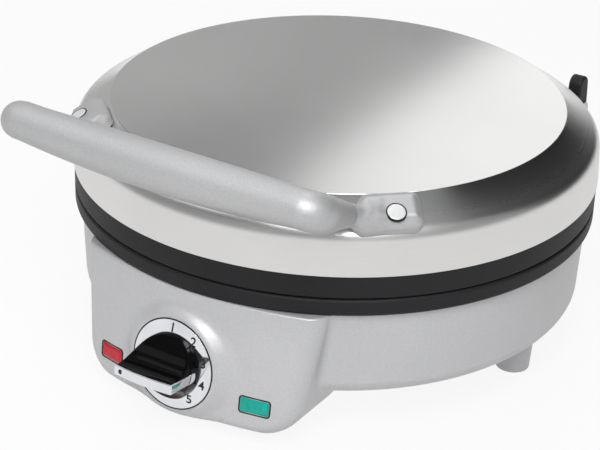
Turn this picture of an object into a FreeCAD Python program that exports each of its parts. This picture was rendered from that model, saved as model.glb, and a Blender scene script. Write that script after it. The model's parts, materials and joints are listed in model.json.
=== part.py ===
import FreeCAD, Part
import math
import os

# A round countertop waffle maker: a steel-covered lid hinged at the rear on a silver base,
# two studded plates with ring heaters, a handle across the front, and a thermostat dial
# between two lamps.
# Millimetres. X runs to the right as seen from the front, Y to the rear and Z up from the table.
# Every piece is drawn round the axis of the lid, and at the end the whole part moves along Y
# so that its origin lies on the table, midway between the front and the rear.

Vector = FreeCAD.Vector
up = Vector(0, 0, 1)

# Main sizes
parting_height = 84.0            # table to the line where the lid meets the base
parting_gap = 0.4                # between the two rims when the lid is shut
rim_radius = 140.0               # both black rims
seat_gap = 0.3                   # between a curved piece and what it rests on
hole_gap = 0.2                   # radial, round a screw that passes through
thread_gap = 0.05                # radial, round a screw in its thread
running_gap = 0.05               # radial, round a turning shaft or pin

# Waffle plates
plate_flange = 4.0               # thickness of the flat edge
plate_flange_width = 13.0
plate_seat_gap = 0.5             # radial, between a plate and its rim
cavity_depth = 14.0              # parting line to the floor of a plate
cavity_draft = 5.0               # how far the cavity's wall leans in
plate_web = 4.0                  # thickness of the plate's floor
stud_gap = 8.0                   # between facing studs
stud_pitch = 24.0
stud_foot = 17.0
stud_tip = 13.0
stud_edge_gap = 1.0              # least distance from a stud to the cavity's wall
divider_width = 3.0              # ridges that part the waffle into quarters

# Heaters and reflectors
heater_inset = 31.0              # foot of the cavity's wall to the middle of the tube
heater_tube = 4.0                # radius of the tube
heater_sweep = 320.0             # degrees round the plate
heater_drop = 10.0               # cold end below the ring
heater_pin = 1.6                 # radius of the terminal
heater_pin_length = 6.0
heater_gap = 0.2                 # between the tube and its channel
channel_wall = 2.8
channel_depth = 5.0
reflector_sheet = 0.8
reflector_floor_gap = 6.0        # between the heater and the reflector's floor
reflector_draft = 7.4
reflector_gap = 1.5              # between the reflector and the plate
terminal_hole = 6.0              # radius of the holes for the cold ends

# Screws
screw_shank = 2.0                # radius
screw_head = 4.0                 # radius
screw_head_height = 2.5
plate_screw_inset = 5.0          # from the plate's edge
plate_screw_grip = 2.5           # depth of thread in the plate
plate_screw_angles = (45.0, 135.0, 225.0, 315.0)

# Rims
rim_wall = 15.5                  # radial, outside the plate's seat
upper_rim_height = 12.2
lower_rim_height = 9.0
rim_web = 4.0                    # ledge that carries the plate
rim_web_width = 10.5
spigot_depth = 6.0               # collar inside the cover, and inside the housing
spigot_wall = 5.0

# Lid cover
cover_sheet = 1.0
cover_overhang = 0.5             # cover stands this far outside the rim
cover_wall_height = 22.2
cover_wall_draft = 1.3
cover_shoulder_width = 18.6      # sloping ring between the wall and the flat top
cover_shoulder_rise = 12.0
cover_shoulder_round = 4.0
cover_crease_round = 1.5
cover_crown = 2.6                # rise of the top from its crease to its middle

# Handle
handle_bar_offset = 20.0         # rim's edge to the middle of the bar, seen from above
handle_bar_height = 66.3         # above the parting line, at the elbows
handle_corner_inset = 1.9        # corners of the handle, inside the pads' screws
handle_bar_radius = 11.7         # at mid length
handle_bar_sections = 7          # circles that the bar is drawn through
handle_end_radius = 9.3          # at the elbows
handle_elbow = 12.0              # bend radius
handle_neck_radius = 6.4
handle_neck_front = 24.0         # neck's place, measured from a pad's screw
handle_neck_lift = 10.0
handle_root_front = 12.0         # where the neck runs into the pad
handle_root_lift = 4.2
handle_root_radius = 4.8
handle_pad_angle = 47.0          # round the lid, from the side towards the front
handle_pad_tilt = 30.0           # lean of the pads' faces
handle_pad_inset = 5.2           # cover's shoulder to where a pad's screw meets its slope
handle_pad_thickness = 9.0
handle_pad_front = 19.0          # pad edges, measured from its screw
handle_pad_rear = 14.0
handle_pad_inner = 14.0
handle_pad_outer = 6.0
handle_pad_corner = 6.0
handle_pad_edge = 4.0
cap_radius = 5.2
cap_thickness = 1.6
cap_proud = 0.5
handle_screw_length = 17.0
backing_length = 26.0
backing_inner = 11.0
backing_outer = 4.0
backing_sheet = 2.0

# Hinge
hinge_offset = 7.0               # rim's edge to the pin
hinge_height = 8.0               # pin above the parting line
hinge_pin_radius = 3.0
ear_inner = 70.0                 # middle of the lid to the ears' inner faces
ear_width = 8.0
ear_radius = 6.5                 # half of the ear's depth at the pin
ear_tip_radius = 4.0             # half of its depth at the top
ear_rise = 20.0                  # top of the ear above the pin
ear_foot_inset = 31.0            # rim's edge to where the ears' feet start
knuckle_width = 12.0
knuckle_radius = 6.5
knuckle_gap = 0.5                # beside the ear
pin_head_radius = 4.5
pin_head_height = 1.5
pin_tail = 2.6                   # beyond the knuckle
clip_sheet = 0.8
clip_radius = 5.2
clip_groove = 0.6                # depth

# Housing
housing_wall = 2.5
bowl_inset = 3.5                 # bowl's top edge, inside the rim's
bowl_wall_draft = 1.5            # from the top edge to where the bottom curve begins
bowl_curve_width = 27.5          # bottom curve, across
bowl_curve_height = 14.0         # bottom curve, up
bowl_clearance = 21.5            # table to the bowl
floor_ledge = 21.5               # flat bottom left round the service hole

# Control panel
panel_bow = 165.0                # radius of the bowed front
panel_offset = 4.0               # rim's edge to the panel's face at the dial
panel_tilt = 7.0                 # degrees, top leaning back
panel_top_half_width = 71.5
panel_bottom_half_width = 62.5
panel_clearance = 8.0            # table to the panel's bottom
chin_depth = 49.0                # panel's face to the back of the chin
panel_corner_round = 20.0        # bottom corners, seen from the front
panel_edge_round = 9.0           # round the edge of the front

# Dial
dial_height = 36.5               # above the table
boss_height = 4.2
boss_top_radius = 24.6
boss_foot_radius = 28.5
boss_sink = 5.0                  # how far the cone runs on behind the panel's face
boss_bore = 9.0
ring_radius = 23.2
ring_bore = 10.0
ring_sheet = 0.8
knob_radius = 17.0
knob_height = 24.0
knob_base = 2.8                  # thickness of the disc at the edge
knob_gap = 0.5                   # above the ring
knob_blade = 2.9                 # half thickness of the grip at its front
knob_scoop = 20.0                # radius of the hollows beside the grip
knob_hub_radius = 7.0
knob_hub_depth = 5.0
strip_height = 5.2
strip_sheet = 1.0
strip_proud = 0.5
shaft_radius = 3.0
shaft_in_knob = 12.0
shaft_in_body = 12.0
thermostat_width = 30.0
thermostat_height = 24.0
thermostat_depth = 18.0
thermostat_nose = 5.0            # radius
thermostat_nose_length = 3.0
bracket_width = 46.0
bracket_height = 20.0
bracket_sheet = 1.5
bracket_depth = 10.0             # behind the panel's face
bracket_post = 4.0               # radius of the posts that carry it
bracket_post_spacing = 38.0
bracket_screw_length = 6.0
small_shank = 1.5                # radius
small_head = 2.8                 # radius
small_head_height = 1.8

# Lamps
lamp_angle = 15.4                # round the bowed front, from the dial
lamp_drop = 11.8                 # below the dial
lens_width = 15.4
lens_height = 8.2
lens_proud = 0.6
lens_gap = 0.15
lens_flange = 1.4
lens_flange_sheet = 1.0
holder_depth = 12.0
holder_wall = 1.2
bulb_radius = 2.4
bulb_length = 10.0

# Legs and pads
leg_inset = 22.6                 # bowl's wall to the middle of a leg
leg_angles = {"right": 3.0, "left": 177.0, "rear_right": 57.0, "rear_left": 123.0}
leg_top_radius = 10.5
leg_foot_radius = 9.0
leg_boss_radius = 7.0
leg_boss_height = 4.0            # inside the housing, above its floor
leg_screw_length = 18.0
foot_radius = 7.5
foot_thickness = 2.0
foot_stem_radius = 3.0
foot_stem_height = 4.0
front_pad_radius = 8.0
front_pad_x = 38.0
front_pad_inset = 37.0           # from the panel's face to the middle of the pad

# Bottom cover
bottom_sheet = 1.5
bottom_overlap = 10.0            # beyond the service hole
bottom_screw_angles = (40.0, 140.0, 215.0, 325.0)
bottom_boss_radius = 5.0
bottom_boss_height = 8.0
bottom_screw_length = 8.0
vent_count = 10
vent_inset = 31.0                # service hole's edge to the middle of the vents
vent_length = 26.0
vent_width = 4.0

# Wiring parts
gland_height = 45.0              # above the table
gland_body_radius = 6.0
gland_bore = 3.8
gland_flange_radius = 8.5
gland_flange = 2.6
gland_inside = 6.0
block_width = 36.0
block_depth = 16.0
block_height = 14.0
block_inset = 26.0               # service hole's edge to the middle of the block
block_screw_spacing = 24.0
block_screw_depth = 1.2
block_head_clearance = 0.4
fuse_radius = 3.0
fuse_length = 16.0
fuse_y = 40.0
fuse_strap_width = 6.0
fuse_strap_sheet = 0.8
fuse_strap_lug = 5.0

# Places that follow from the sizes above
lid_face = parting_height + parting_gap / 2
base_face = parting_height - parting_gap / 2
rim_seat = rim_radius - rim_wall
plate_radius = rim_seat - plate_seat_gap
plate_screw_circle = plate_radius - plate_screw_inset
rim_web_edge = rim_seat - rim_web_width
lower_rim_foot = base_face - lower_rim_height
upper_rim_top = lid_face + upper_rim_height
lower_web_foot = base_face - plate_flange - rim_web
plate_floor = parting_height - cavity_depth
plate_back = plate_floor - plate_web
cavity_mouth = plate_radius - plate_flange_width
cavity_radius = cavity_mouth - cavity_draft
heater_radius = cavity_radius - heater_inset
cover_foot = rim_radius + cover_overhang
cover_shoulder = cover_foot - cover_wall_draft
cover_crease = cover_shoulder - cover_shoulder_width
shoulder_height = upper_rim_top + cover_wall_height
crease_height = shoulder_height + cover_shoulder_rise
handle_bar_reach = rim_radius + handle_bar_offset
handle_pad_radius = cover_shoulder - handle_pad_inset
handle_span = handle_pad_radius * math.cos(math.radians(handle_pad_angle)) - handle_corner_inset
hinge_z = parting_height + hinge_height
hinge_reach = rim_radius + hinge_offset
ear_foot_front = rim_radius - ear_foot_inset
bowl_top_radius = rim_radius - bowl_inset
bowl_wall_radius = bowl_top_radius - bowl_wall_draft
bowl_curve_start = bowl_clearance + bowl_curve_height
floor_hole = bowl_wall_radius - bowl_curve_width - floor_ledge
leg_circle = bowl_wall_radius - leg_inset
vent_circle = floor_hole - vent_inset
block_y = floor_hole - block_inset
panel_front = rim_radius + panel_offset
panel_rear = panel_front - chin_depth
panel_face = Vector(0, -panel_front, dial_height)
panel_turn = FreeCAD.Rotation(Vector(1, 0, 0), -panel_tilt)
ring_top = boss_height + ring_sheet


# Shapes used more than once
def turned(outline):
    """Solid turned round the lid's axis from (radius, height) corners."""
    corners = [Vector(r, 0, z) for r, z in outline]
    wire = Part.makePolygon(corners + corners[:1])
    return Part.Face(wire).revolve(Vector(), up, 360)


def rod(radius, start, end):
    """Round bar from one point to another."""
    line = end - start
    return Part.makeCylinder(radius, line.Length, start, line)


def slab(width, depth, height, corner):
    """Box from its lowest corner."""
    return Part.makeBox(width, depth, height, corner)


def round_the_axis(radius, angle, height=0.0):
    """Point at an angle round the lid's axis, with 0 to the right and 90 at the rear."""
    a = math.radians(angle)
    return Vector(radius * math.cos(a), radius * math.sin(a), height)


def screw(tip, head, shank=screw_shank, head_radius=screw_head, head_height=screw_head_height):
    """Screw whose head sits on the point named head and whose thread ends at the tip."""
    line = (head - tip).normalize()
    return rod(shank, tip, head).fuse(rod(head_radius, head, head + line * head_height))


def prism(outline, start_x, width):
    """Solid from (y, z) corners, drawn out along X."""
    corners = [Vector(start_x, y, z) for y, z in outline]
    return Part.Face(Part.makePolygon(corners + corners[:1])).extrude(Vector(width, 0, 0))


def mirrored(shape):
    """The same shape on the left side."""
    return shape.mirror(Vector(), Vector(1, 0, 0))


def turned_over(shape):
    """The same shape above the parting line instead of below it."""
    return shape.mirror(Vector(0, 0, parting_height), up)


def on_panel(shape, angle=0.0):
    """Shape drawn at the dial, with -Y out of the panel, swung round the bowed front and put in place."""
    placed = shape.copy()
    placed.rotate(Vector(0, panel_bow, 0), up, angle)
    placed.rotate(Vector(), Vector(1, 0, 0), -panel_tilt)
    placed.translate(panel_face)
    return placed


def out(distance, x=0.0, z=0.0):
    """Point in front of the panel's face, in the panel's own directions."""
    return Vector(x, -distance, z)


# Waffle plates and heaters, drawn for the base and turned over for the lid
def stud(x, y):
    """One tapering square stud."""
    tip_height = parting_height - stud_gap / 2
    wires = []
    for size, height in ((stud_foot, plate_floor - plate_web / 2), (stud_tip, tip_height)):
        half = size / 2
        turns = ((-1, -1), (1, -1), (1, 1), (-1, 1))
        square = [Vector(x + sx * half, y + sy * half, height) for sx, sy in turns]
        wires.append(Part.makePolygon(square + square[:1]))
    return Part.makeLoft(wires, True, True)


def waffle_plate():
    """Floor of a cast plate, with studs, quarter dividers and a channel for the heater on its back."""
    inner = heater_radius - heater_tube - heater_gap
    outer = heater_radius + heater_tube + heater_gap
    rib_foot = plate_back - channel_depth
    plate = turned([
        (0, plate_back), (inner - channel_wall, plate_back),
        (inner - channel_wall, rib_foot), (inner, rib_foot), (inner, plate_back),
        (outer, plate_back), (outer, rib_foot), (outer + channel_wall, rib_foot),
        (outer + channel_wall, plate_back), (cavity_radius, plate_back),
        (cavity_radius, plate_floor), (0, plate_floor)])
    reach = int(cavity_radius / stud_pitch) + 1
    centres = [(i + 0.5) * stud_pitch for i in range(-reach, reach)]
    studs = []
    for x in centres:
        for y in centres:
            corner = math.hypot(abs(x) + stud_foot / 2, abs(y) + stud_foot / 2)
            if corner + stud_edge_gap < cavity_radius:
                studs.append(stud(x, y))
    height = cavity_depth - stud_gap / 2 + plate_web / 2
    half = math.sqrt(cavity_radius ** 2 - (divider_width / 2) ** 2)
    ridge = slab(2 * half, divider_width, height,
                 Vector(-half, -divider_width / 2, plate_floor - plate_web / 2))
    cross = ridge.copy()
    cross.rotate(Vector(), up, 90)
    return plate.fuse(studs + [ridge, cross]).removeSplitter()


def plate_edge():
    """Wall and flange of a cast plate, round its floor, threaded for the screws."""
    lean = cavity_draft * plate_flange / cavity_depth
    edge = turned([
        (cavity_radius, plate_back), (cavity_radius + channel_wall, plate_back),
        (cavity_mouth + channel_wall - lean, base_face - plate_flange),
        (plate_radius, base_face - plate_flange), (plate_radius, base_face),
        (cavity_mouth, base_face), (cavity_radius, plate_floor)])
    hole = screw_shank + thread_gap
    threads = [rod(hole, point - up, point + up * plate_screw_grip)
               for point in plate_screw_points(base_face - plate_flange)]
    return edge.cut(threads)


def plate_screw_points(height):
    """Places of the screws that hold a plate to its rim."""
    return [round_the_axis(plate_screw_circle, angle, height) for angle in plate_screw_angles]


def heater_ends():
    """Places of the heater's two cold ends, either side of the rear."""
    spare = (360 - heater_sweep) / 2
    height = plate_back - heater_gap - heater_tube
    return [round_the_axis(heater_radius, 90 + side * spare, height) for side in (-1, 1)]


def heater():
    """Ring heater with two cold ends and their terminals."""
    first, last = heater_ends()
    height = first.z
    ring = Part.makeTorus(heater_radius, heater_tube, Vector(0, 0, height), up, 0, 360, heater_sweep)
    ring.rotate(Vector(0, 0, height), up, 90 + (360 - heater_sweep) / 2)
    for end in (first, last):
        cold = end - up * heater_drop
        ring = ring.fuse([Part.makeSphere(heater_tube, end), rod(heater_tube, end, cold),
                          rod(heater_pin, cold + up, cold - up * heater_pin_length)])
    return ring.removeSplitter()


def reflector_back():
    """Height of the lower reflector's underside."""
    return plate_back - heater_gap - 2 * heater_tube - reflector_floor_gap - reflector_sheet


def reflector():
    """Sheet pan behind the heater, held under the rim's ledge."""
    top = lower_web_foot
    mouth = cavity_mouth + channel_wall + reflector_gap - cavity_draft * plate_flange / cavity_depth
    flange = spigot_radius(bowl_top_radius - housing_wall) - spigot_wall - plate_seat_gap
    floor = reflector_back() + reflector_sheet
    sheet = reflector_sheet
    pan = turned([
        (flange, top), (mouth, top), (mouth - reflector_draft, floor), (0, floor),
        (0, floor - sheet), (mouth - reflector_draft + sheet, floor - sheet),
        (mouth + sheet, top - sheet), (flange, top - sheet)])
    holes = [rod(screw_shank + hole_gap, p - up, p + up) for p in plate_screw_points(top - sheet / 2)]
    for end in heater_ends():
        low = Vector(end.x, end.y, floor - 2 * sheet)
        holes.append(rod(terminal_hole, low, low + up * 3 * sheet))
    return pan.cut(holes)


def plate_screws():
    """Screws up through the reflector and the rim's ledge into the plate."""
    heads = plate_screw_points(lower_web_foot - reflector_sheet)
    tips = plate_screw_points(base_face - plate_flange + plate_screw_grip)
    return Part.makeCompound([screw(tip, head) for tip, head in zip(tips, heads)])


# Rims
def spigot_radius(bore):
    """Outside of a collar that fits a bore."""
    return bore - seat_gap


def ledge_holes(height):
    """Screw holes through a rim's ledge."""
    return [rod(screw_shank + hole_gap, p - up, p + up * (rim_web + 1)) for p in plate_screw_points(height)]


def lower_rim():
    """Black ring that carries the lower plate, with the two hinge ears."""
    collar = spigot_radius(bowl_top_radius - housing_wall)
    foot = lower_rim_foot - spigot_depth
    ring = turned([
        (rim_web_edge, lower_web_foot), (collar - spigot_wall, lower_web_foot),
        (collar - spigot_wall, foot), (collar, foot), (collar, lower_rim_foot),
        (rim_radius, lower_rim_foot), (rim_radius, base_face),
        (rim_seat, base_face), (rim_seat, base_face - plate_flange),
        (rim_web_edge, base_face - plate_flange)])
    front = hinge_reach - ear_radius
    rear = hinge_reach + ear_radius
    top = hinge_z + ear_rise - ear_tip_radius
    ear = prism([(ear_foot_front, lower_rim_foot), (rear, lower_rim_foot), (rear, hinge_z),
                 (hinge_reach + ear_tip_radius, top), (hinge_reach - ear_tip_radius, top),
                 (front, hinge_z), (front, base_face), (ear_foot_front, base_face)], ear_inner, ear_width)
    pin_line = Vector(ear_inner, hinge_reach, hinge_z)
    side = Vector(1, 0, 0)
    tip_line = Vector(ear_inner, hinge_reach, top)
    ear = ear.fuse(Part.makeCylinder(ear_tip_radius, ear_width, tip_line, side))
    bore = Part.makeCylinder(hinge_pin_radius + thread_gap, ear_width, pin_line, side)
    ear = ear.cut(bore)
    ring = ring.cut(ledge_holes(lower_web_foot))
    return ring.fuse([ear, mirrored(ear)]).removeSplitter()


def upper_rim():
    """Black ring that carries the upper plate, with the two hinge knuckles."""
    collar = spigot_radius(cover_foot - cover_sheet - cover_wall_draft * spigot_depth / cover_wall_height)
    web_foot = lid_face + plate_flange
    ring = turned([
        (rim_web_edge, web_foot), (rim_seat, web_foot), (rim_seat, lid_face),
        (rim_radius, lid_face), (rim_radius, upper_rim_top), (collar, upper_rim_top),
        (collar, upper_rim_top + spigot_depth), (collar - spigot_wall, upper_rim_top + spigot_depth),
        (collar - spigot_wall, web_foot + rim_web), (rim_web_edge, web_foot + rim_web)])
    outer = ear_inner - knuckle_gap
    inner = outer - knuckle_width
    root = math.sqrt(rim_radius ** 2 - outer ** 2) - spigot_wall
    clear = math.sqrt(cover_foot ** 2 - inner ** 2) + cover_overhang + seat_gap
    low = hinge_z - knuckle_radius
    knuckle = prism([(root, low), (hinge_reach, low), (hinge_reach, hinge_z + knuckle_radius),
                     (clear, upper_rim_top), (root, upper_rim_top)], inner, knuckle_width)
    pin_line = Vector(inner, hinge_reach, hinge_z)
    side = Vector(1, 0, 0)
    knuckle = knuckle.fuse(Part.makeCylinder(knuckle_radius, knuckle_width, pin_line, side))
    knuckle = knuckle.cut(Part.makeCylinder(hinge_pin_radius + running_gap, knuckle_width, pin_line, side))
    ring = ring.cut(ledge_holes(web_foot))
    return ring.fuse([knuckle, mirrored(knuckle)]).removeSplitter()


# Hinge pins
def hinge_pin():
    """Right-hand pin, headed outside the ear and grooved for a clip inside the knuckle."""
    outer = ear_inner + ear_width
    inner = ear_inner - knuckle_gap - knuckle_width - pin_tail
    centre = Vector(0, hinge_reach, hinge_z)
    side = Vector(1, 0, 0)
    pin = rod(hinge_pin_radius, centre + side * inner, centre + side * outer)
    pin = pin.fuse(rod(pin_head_radius, centre + side * outer, centre + side * (outer + pin_head_height)))
    root = hinge_pin_radius - clip_groove
    groove = clip_ring(root, hinge_pin_radius + clip_groove, clip_sheet + thread_gap)
    return pin.cut(groove).removeSplitter()


def clip_ring(inner, outer, width):
    """Flat ring round the right-hand pin at its groove, centred between the knuckle and the pin's end."""
    middle = ear_inner - knuckle_gap - knuckle_width - pin_tail / 2
    start = Vector(middle - width / 2, hinge_reach, hinge_z)
    end = Vector(middle + width / 2, hinge_reach, hinge_z)
    return rod(outer, start, end).cut(rod(inner, start, end))


def hinge_clips():
    """Retaining clips on the two pins."""
    clip = clip_ring(hinge_pin_radius - clip_groove + thread_gap, clip_radius, clip_sheet)
    return Part.makeCompound([clip, mirrored(clip)])


# Lid cover
def round_ring(body, height, radius):
    """Round the circular edge of a turned body at a height."""
    edges = [e for e in body.Edges if e.Closed and abs(e.CenterOfMass.z - height) < 0.01]
    return body.makeFillet(radius, edges)


def cover_body(inset):
    """Filled shape of the cover, drawn in by the inset, with its shoulder rounded."""
    slope = math.atan2(cover_shoulder_rise, cover_shoulder_width)
    drop = inset / math.cos(slope)
    wall = cover_shoulder - inset
    shoulder = shoulder_height - drop + inset * math.tan(slope)
    crease = crease_height - drop
    rise = cover_crown + drop - inset
    sphere = (cover_crease ** 2 + rise ** 2) / (2 * rise)
    half = math.asin(cover_crease / sphere) / 2
    crown = crease + rise
    foot = Vector(cover_foot - inset, 0, upper_rim_top)
    edge = Vector(wall, 0, shoulder)
    bend = Vector(cover_crease, 0, crease)
    top = Vector(0, 0, crown)
    middle = Vector(sphere * math.sin(half), 0, crown - sphere * (1 - math.cos(half)))
    base = Vector(0, 0, upper_rim_top)
    arc = Part.Arc(bend, middle, top).toShape()
    wire = Part.Wire([Part.makeLine(base, foot), Part.makeLine(foot, edge), Part.makeLine(edge, bend),
                      arc, Part.makeLine(top, base)])
    body = Part.Face(wire).revolve(Vector(), up, 360)
    return round_ring(body, shoulder, cover_shoulder_round - inset)


def lid_cover():
    """Drawn steel cover with holes for the handle's screws."""
    outside = round_ring(cover_body(0), crease_height, cover_crease_round)
    shell = outside.cut(cover_body(cover_sheet))
    for side in (1, -1):
        below = -2 * cover_sheet - backing_sheet
        shell = shell.cut(pad_rod(screw_shank + hole_gap, below, cover_sheet, side))
    return shell


# Handle
def pad_frame(side):
    """Foot of a pad's screw on the shoulder, and the pad's normal, inward and forward directions."""
    depth = (cover_shoulder - handle_pad_radius) * cover_shoulder_rise / cover_shoulder_width
    a = math.radians(handle_pad_angle)
    outward = Vector(side * math.cos(a), -math.sin(a), 0)
    foot = outward * handle_pad_radius + up * (shoulder_height + depth)
    t = math.radians(handle_pad_tilt)
    normal = outward * math.sin(t) + up * math.cos(t)
    inward = outward * -math.cos(t) + up * math.sin(t)
    forward = Vector(-side * math.sin(a), -math.cos(a), 0)
    return foot, normal, inward, forward


def pad_rod(radius, start, end, side):
    """Round bar along a pad's screw, from and to a height over the shoulder."""
    foot, normal, inward, forward = pad_frame(side)
    return rod(radius, foot + normal * start, foot + normal * end)


def pad_block(side, inner, outer, front, rear, low, high):
    """Box in a pad's own directions."""
    foot, normal, inward, forward = pad_frame(side)
    corners = [foot + inward * i + forward * f + normal * low
               for i, f in ((inner, front), (-outer, front), (-outer, -rear), (inner, -rear))]
    return Part.Face(Part.makePolygon(corners + corners[:1])).extrude(normal * (high - low))


def handle_pad(side):
    """Pad with rounded corners, before its underside is fitted to the lid."""
    foot, normal, inward, forward = pad_frame(side)
    pad = pad_block(side, handle_pad_inner, handle_pad_outer, handle_pad_front, handle_pad_rear,
                    -handle_pad_thickness, handle_pad_thickness)
    posts = [e for e in pad.Edges if abs(e.tangentAt(e.FirstParameter).dot(normal)) > 0.99]
    pad = pad.makeFillet(handle_pad_corner, posts)
    top = foot + normal * handle_pad_thickness
    rim = [e for e in pad.Edges if abs((e.CenterOfMass - top).dot(normal)) < 0.01]
    return pad.makeFillet(handle_pad_edge, rim)


def handle_bar():
    """Bar with a level top line that swells downwards to its middle."""
    end_x = handle_span - handle_elbow_cut()
    circles = []
    for index in range(handle_bar_sections):
        place = 2 * index / (handle_bar_sections - 1) - 1
        radius = handle_end_radius + (handle_bar_radius - handle_end_radius) * (1 - place ** 2)
        drop = radius - handle_end_radius
        centre = Vector(place * end_x, -handle_bar_reach, parting_height + handle_bar_height - drop)
        circles.append(Part.Wire(Part.makeCircle(radius, centre, Vector(1, 0, 0))))
    return Part.makeLoft(circles, True)


def handle_corner():
    """Right-hand corner where the bar and the arm meet, and the neck at the arm's other end."""
    foot, normal, inward, forward = pad_frame(1)
    neck = foot + forward * handle_neck_front + normal * handle_neck_lift
    return Vector(handle_span, -handle_bar_reach, parting_height + handle_bar_height), neck


def handle_elbow_cut():
    """Distance from the corner to where the elbow's bend begins."""
    corner, neck = handle_corner()
    angle = (neck - corner).getAngle(Vector(-1, 0, 0))
    return handle_elbow / math.tan(angle / 2)


def handle_arm():
    """Right-hand elbow, tapering arm and root in the pad."""
    corner, neck = handle_corner()
    foot, normal, inward, forward = pad_frame(1)
    arm = (neck - corner).normalize()
    inwards = Vector(-1, 0, 0)
    cut = handle_elbow_cut()
    axis = arm.cross(inwards).normalize()
    bend_start = corner + inwards * cut
    to_centre = axis.cross(inwards)
    if to_centre.dot(arm) < 0:
        to_centre = to_centre * -1
    centre = bend_start + to_centre * handle_elbow
    turn = 180 - math.degrees(arm.getAngle(inwards))
    section = Part.Face(Part.Wire(Part.makeCircle(handle_end_radius, bend_start, inwards)))
    elbow = section.revolve(centre, axis, turn)
    bend_end = corner + arm * cut
    limb = Part.makeCone(handle_end_radius, handle_neck_radius, (neck - bend_end).Length, bend_end, arm)
    root = foot + forward * handle_root_front + normal * handle_root_lift
    line = root - neck
    tail = Part.makeCone(handle_neck_radius, handle_root_radius, line.Length, neck, line)
    return elbow.fuse([limb, Part.makeSphere(handle_neck_radius, neck), tail])


def handle():
    """Cast handle: a swelling bar, two elbows, two tapering arms and two pads."""
    arm = handle_arm()
    whole = handle_bar().fuse([arm, mirrored(arm), handle_pad(1), handle_pad(-1)])
    whole = whole.cut(cover_body(-seat_gap))
    for side in (1, -1):
        recess = handle_pad_thickness - cap_thickness + cap_proud - screw_head_height
        whole = whole.cut([pad_rod(cap_radius + hole_gap, recess, 2 * handle_pad_thickness, side),
                           pad_rod(screw_shank + hole_gap, 0, handle_pad_thickness, side)])
    return whole.removeSplitter()


def handle_caps():
    """Round caps over the handle's screws."""
    high = handle_pad_thickness + cap_proud
    return Part.makeCompound([pad_rod(cap_radius, high - cap_thickness, high, side) for side in (1, -1)])


def handle_screws():
    """Screws through the pads and the cover into the backing plates."""
    screws = []
    for side in (1, -1):
        foot, normal, inward, forward = pad_frame(side)
        head = foot + normal * (handle_pad_thickness - cap_thickness + cap_proud - screw_head_height)
        screws.append(screw(head - normal * handle_screw_length, head))
    return Part.makeCompound(screws)


def backing_plates():
    """Threaded plates inside the cover, behind the handle's pads."""
    plates = []
    for side in (1, -1):
        low = -cover_sheet - seat_gap - backing_sheet - cover_sheet
        plate = pad_block(side, backing_inner, backing_outer, backing_length / 2, backing_length / 2,
                          low, low + backing_sheet)
        plates.append(plate.cut(pad_rod(screw_shank + thread_gap, 2 * low, 0, side)))
    return Part.makeCompound(plates)


# Base housing
def bowl(inset):
    """Filled bowl, drawn in by the inset."""
    centre = Vector(bowl_wall_radius - bowl_curve_width, 0, bowl_curve_start)
    side = Vector(bowl_wall_radius - inset, 0, bowl_curve_start)
    bottom = Vector(centre.x, 0, bowl_clearance + inset)
    rim = Vector(bowl_top_radius - inset, 0, lower_rim_foot)
    curve = Part.Ellipse(side, bottom, centre).toShape(0, math.pi / 2)
    low = Vector(0, 0, bottom.z)
    high = Vector(0, 0, rim.z)
    wire = Part.Wire([Part.makeLine(low, bottom), curve, Part.makeLine(side, rim),
                      Part.makeLine(rim, high), Part.makeLine(high, low)])
    return Part.Face(wire).revolve(Vector(), up, 360)


def panel_block(inset):
    """Filled control panel with its chin, drawn in by the inset."""
    low = panel_clearance + inset
    high = lower_rim_foot - inset
    rear = -panel_rear - inset
    sides = [Vector(x, rear, z) for x, z in (
        (-panel_bottom_half_width + inset, low), (panel_bottom_half_width - inset, low),
        (panel_top_half_width - inset, high), (-panel_top_half_width + inset, high))]
    block = Part.Face(Part.makePolygon(sides + sides[:1])).extrude(Vector(0, -panel_bow, 0))
    corners = [e for e in block.Edges if e.BoundBox.YLength > 1 and e.BoundBox.ZMax < low + 0.01]
    block = block.makeFillet(panel_corner_round - inset, corners)
    reach = panel_bow + panel_front
    barrel = Part.makeCylinder(panel_bow - inset, 2 * reach, Vector(0, panel_bow, -reach), up)
    block = block.common(on_panel(barrel))
    front = [f for f in block.Faces if f.Surface.TypeId == "Part::GeomCylinder"
             and abs(f.Surface.Radius - panel_bow + inset) < 0.01]
    edge = [e for e in front[0].Edges if e.BoundBox.ZMin < high - 0.01]
    return block.makeFillet(panel_edge_round - inset, edge)


def dial_boss():
    """Raised cone that carries the dial, kept above the panel's bottom."""
    slope = (boss_foot_radius - boss_top_radius) / boss_height
    foot = boss_foot_radius + slope * boss_sink
    cone = on_panel(Part.makeCone(foot, boss_top_radius, boss_height + boss_sink, out(-boss_sink), out(1)))
    room = 4 * panel_bow
    keep = slab(room, room, room, Vector(-room / 2, -room / 2, panel_clearance + housing_wall / 2))
    return cone.common(keep)


def bracket_posts(radius, near, far):
    """Two round bars behind the panel, one each side of the dial."""
    return [on_panel(rod(radius, out(near, x), out(far, x)))
            for x in (-bracket_post_spacing / 2, bracket_post_spacing / 2)]


def lens_plug(grow, near, far):
    """Box of the lens's size behind the panel's face, at the dial's place."""
    width = lens_width + 2 * grow
    height = lens_height + 2 * grow
    return slab(width, near - far, height, Vector(-width / 2, -near, -height / 2 - lamp_drop))


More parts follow.
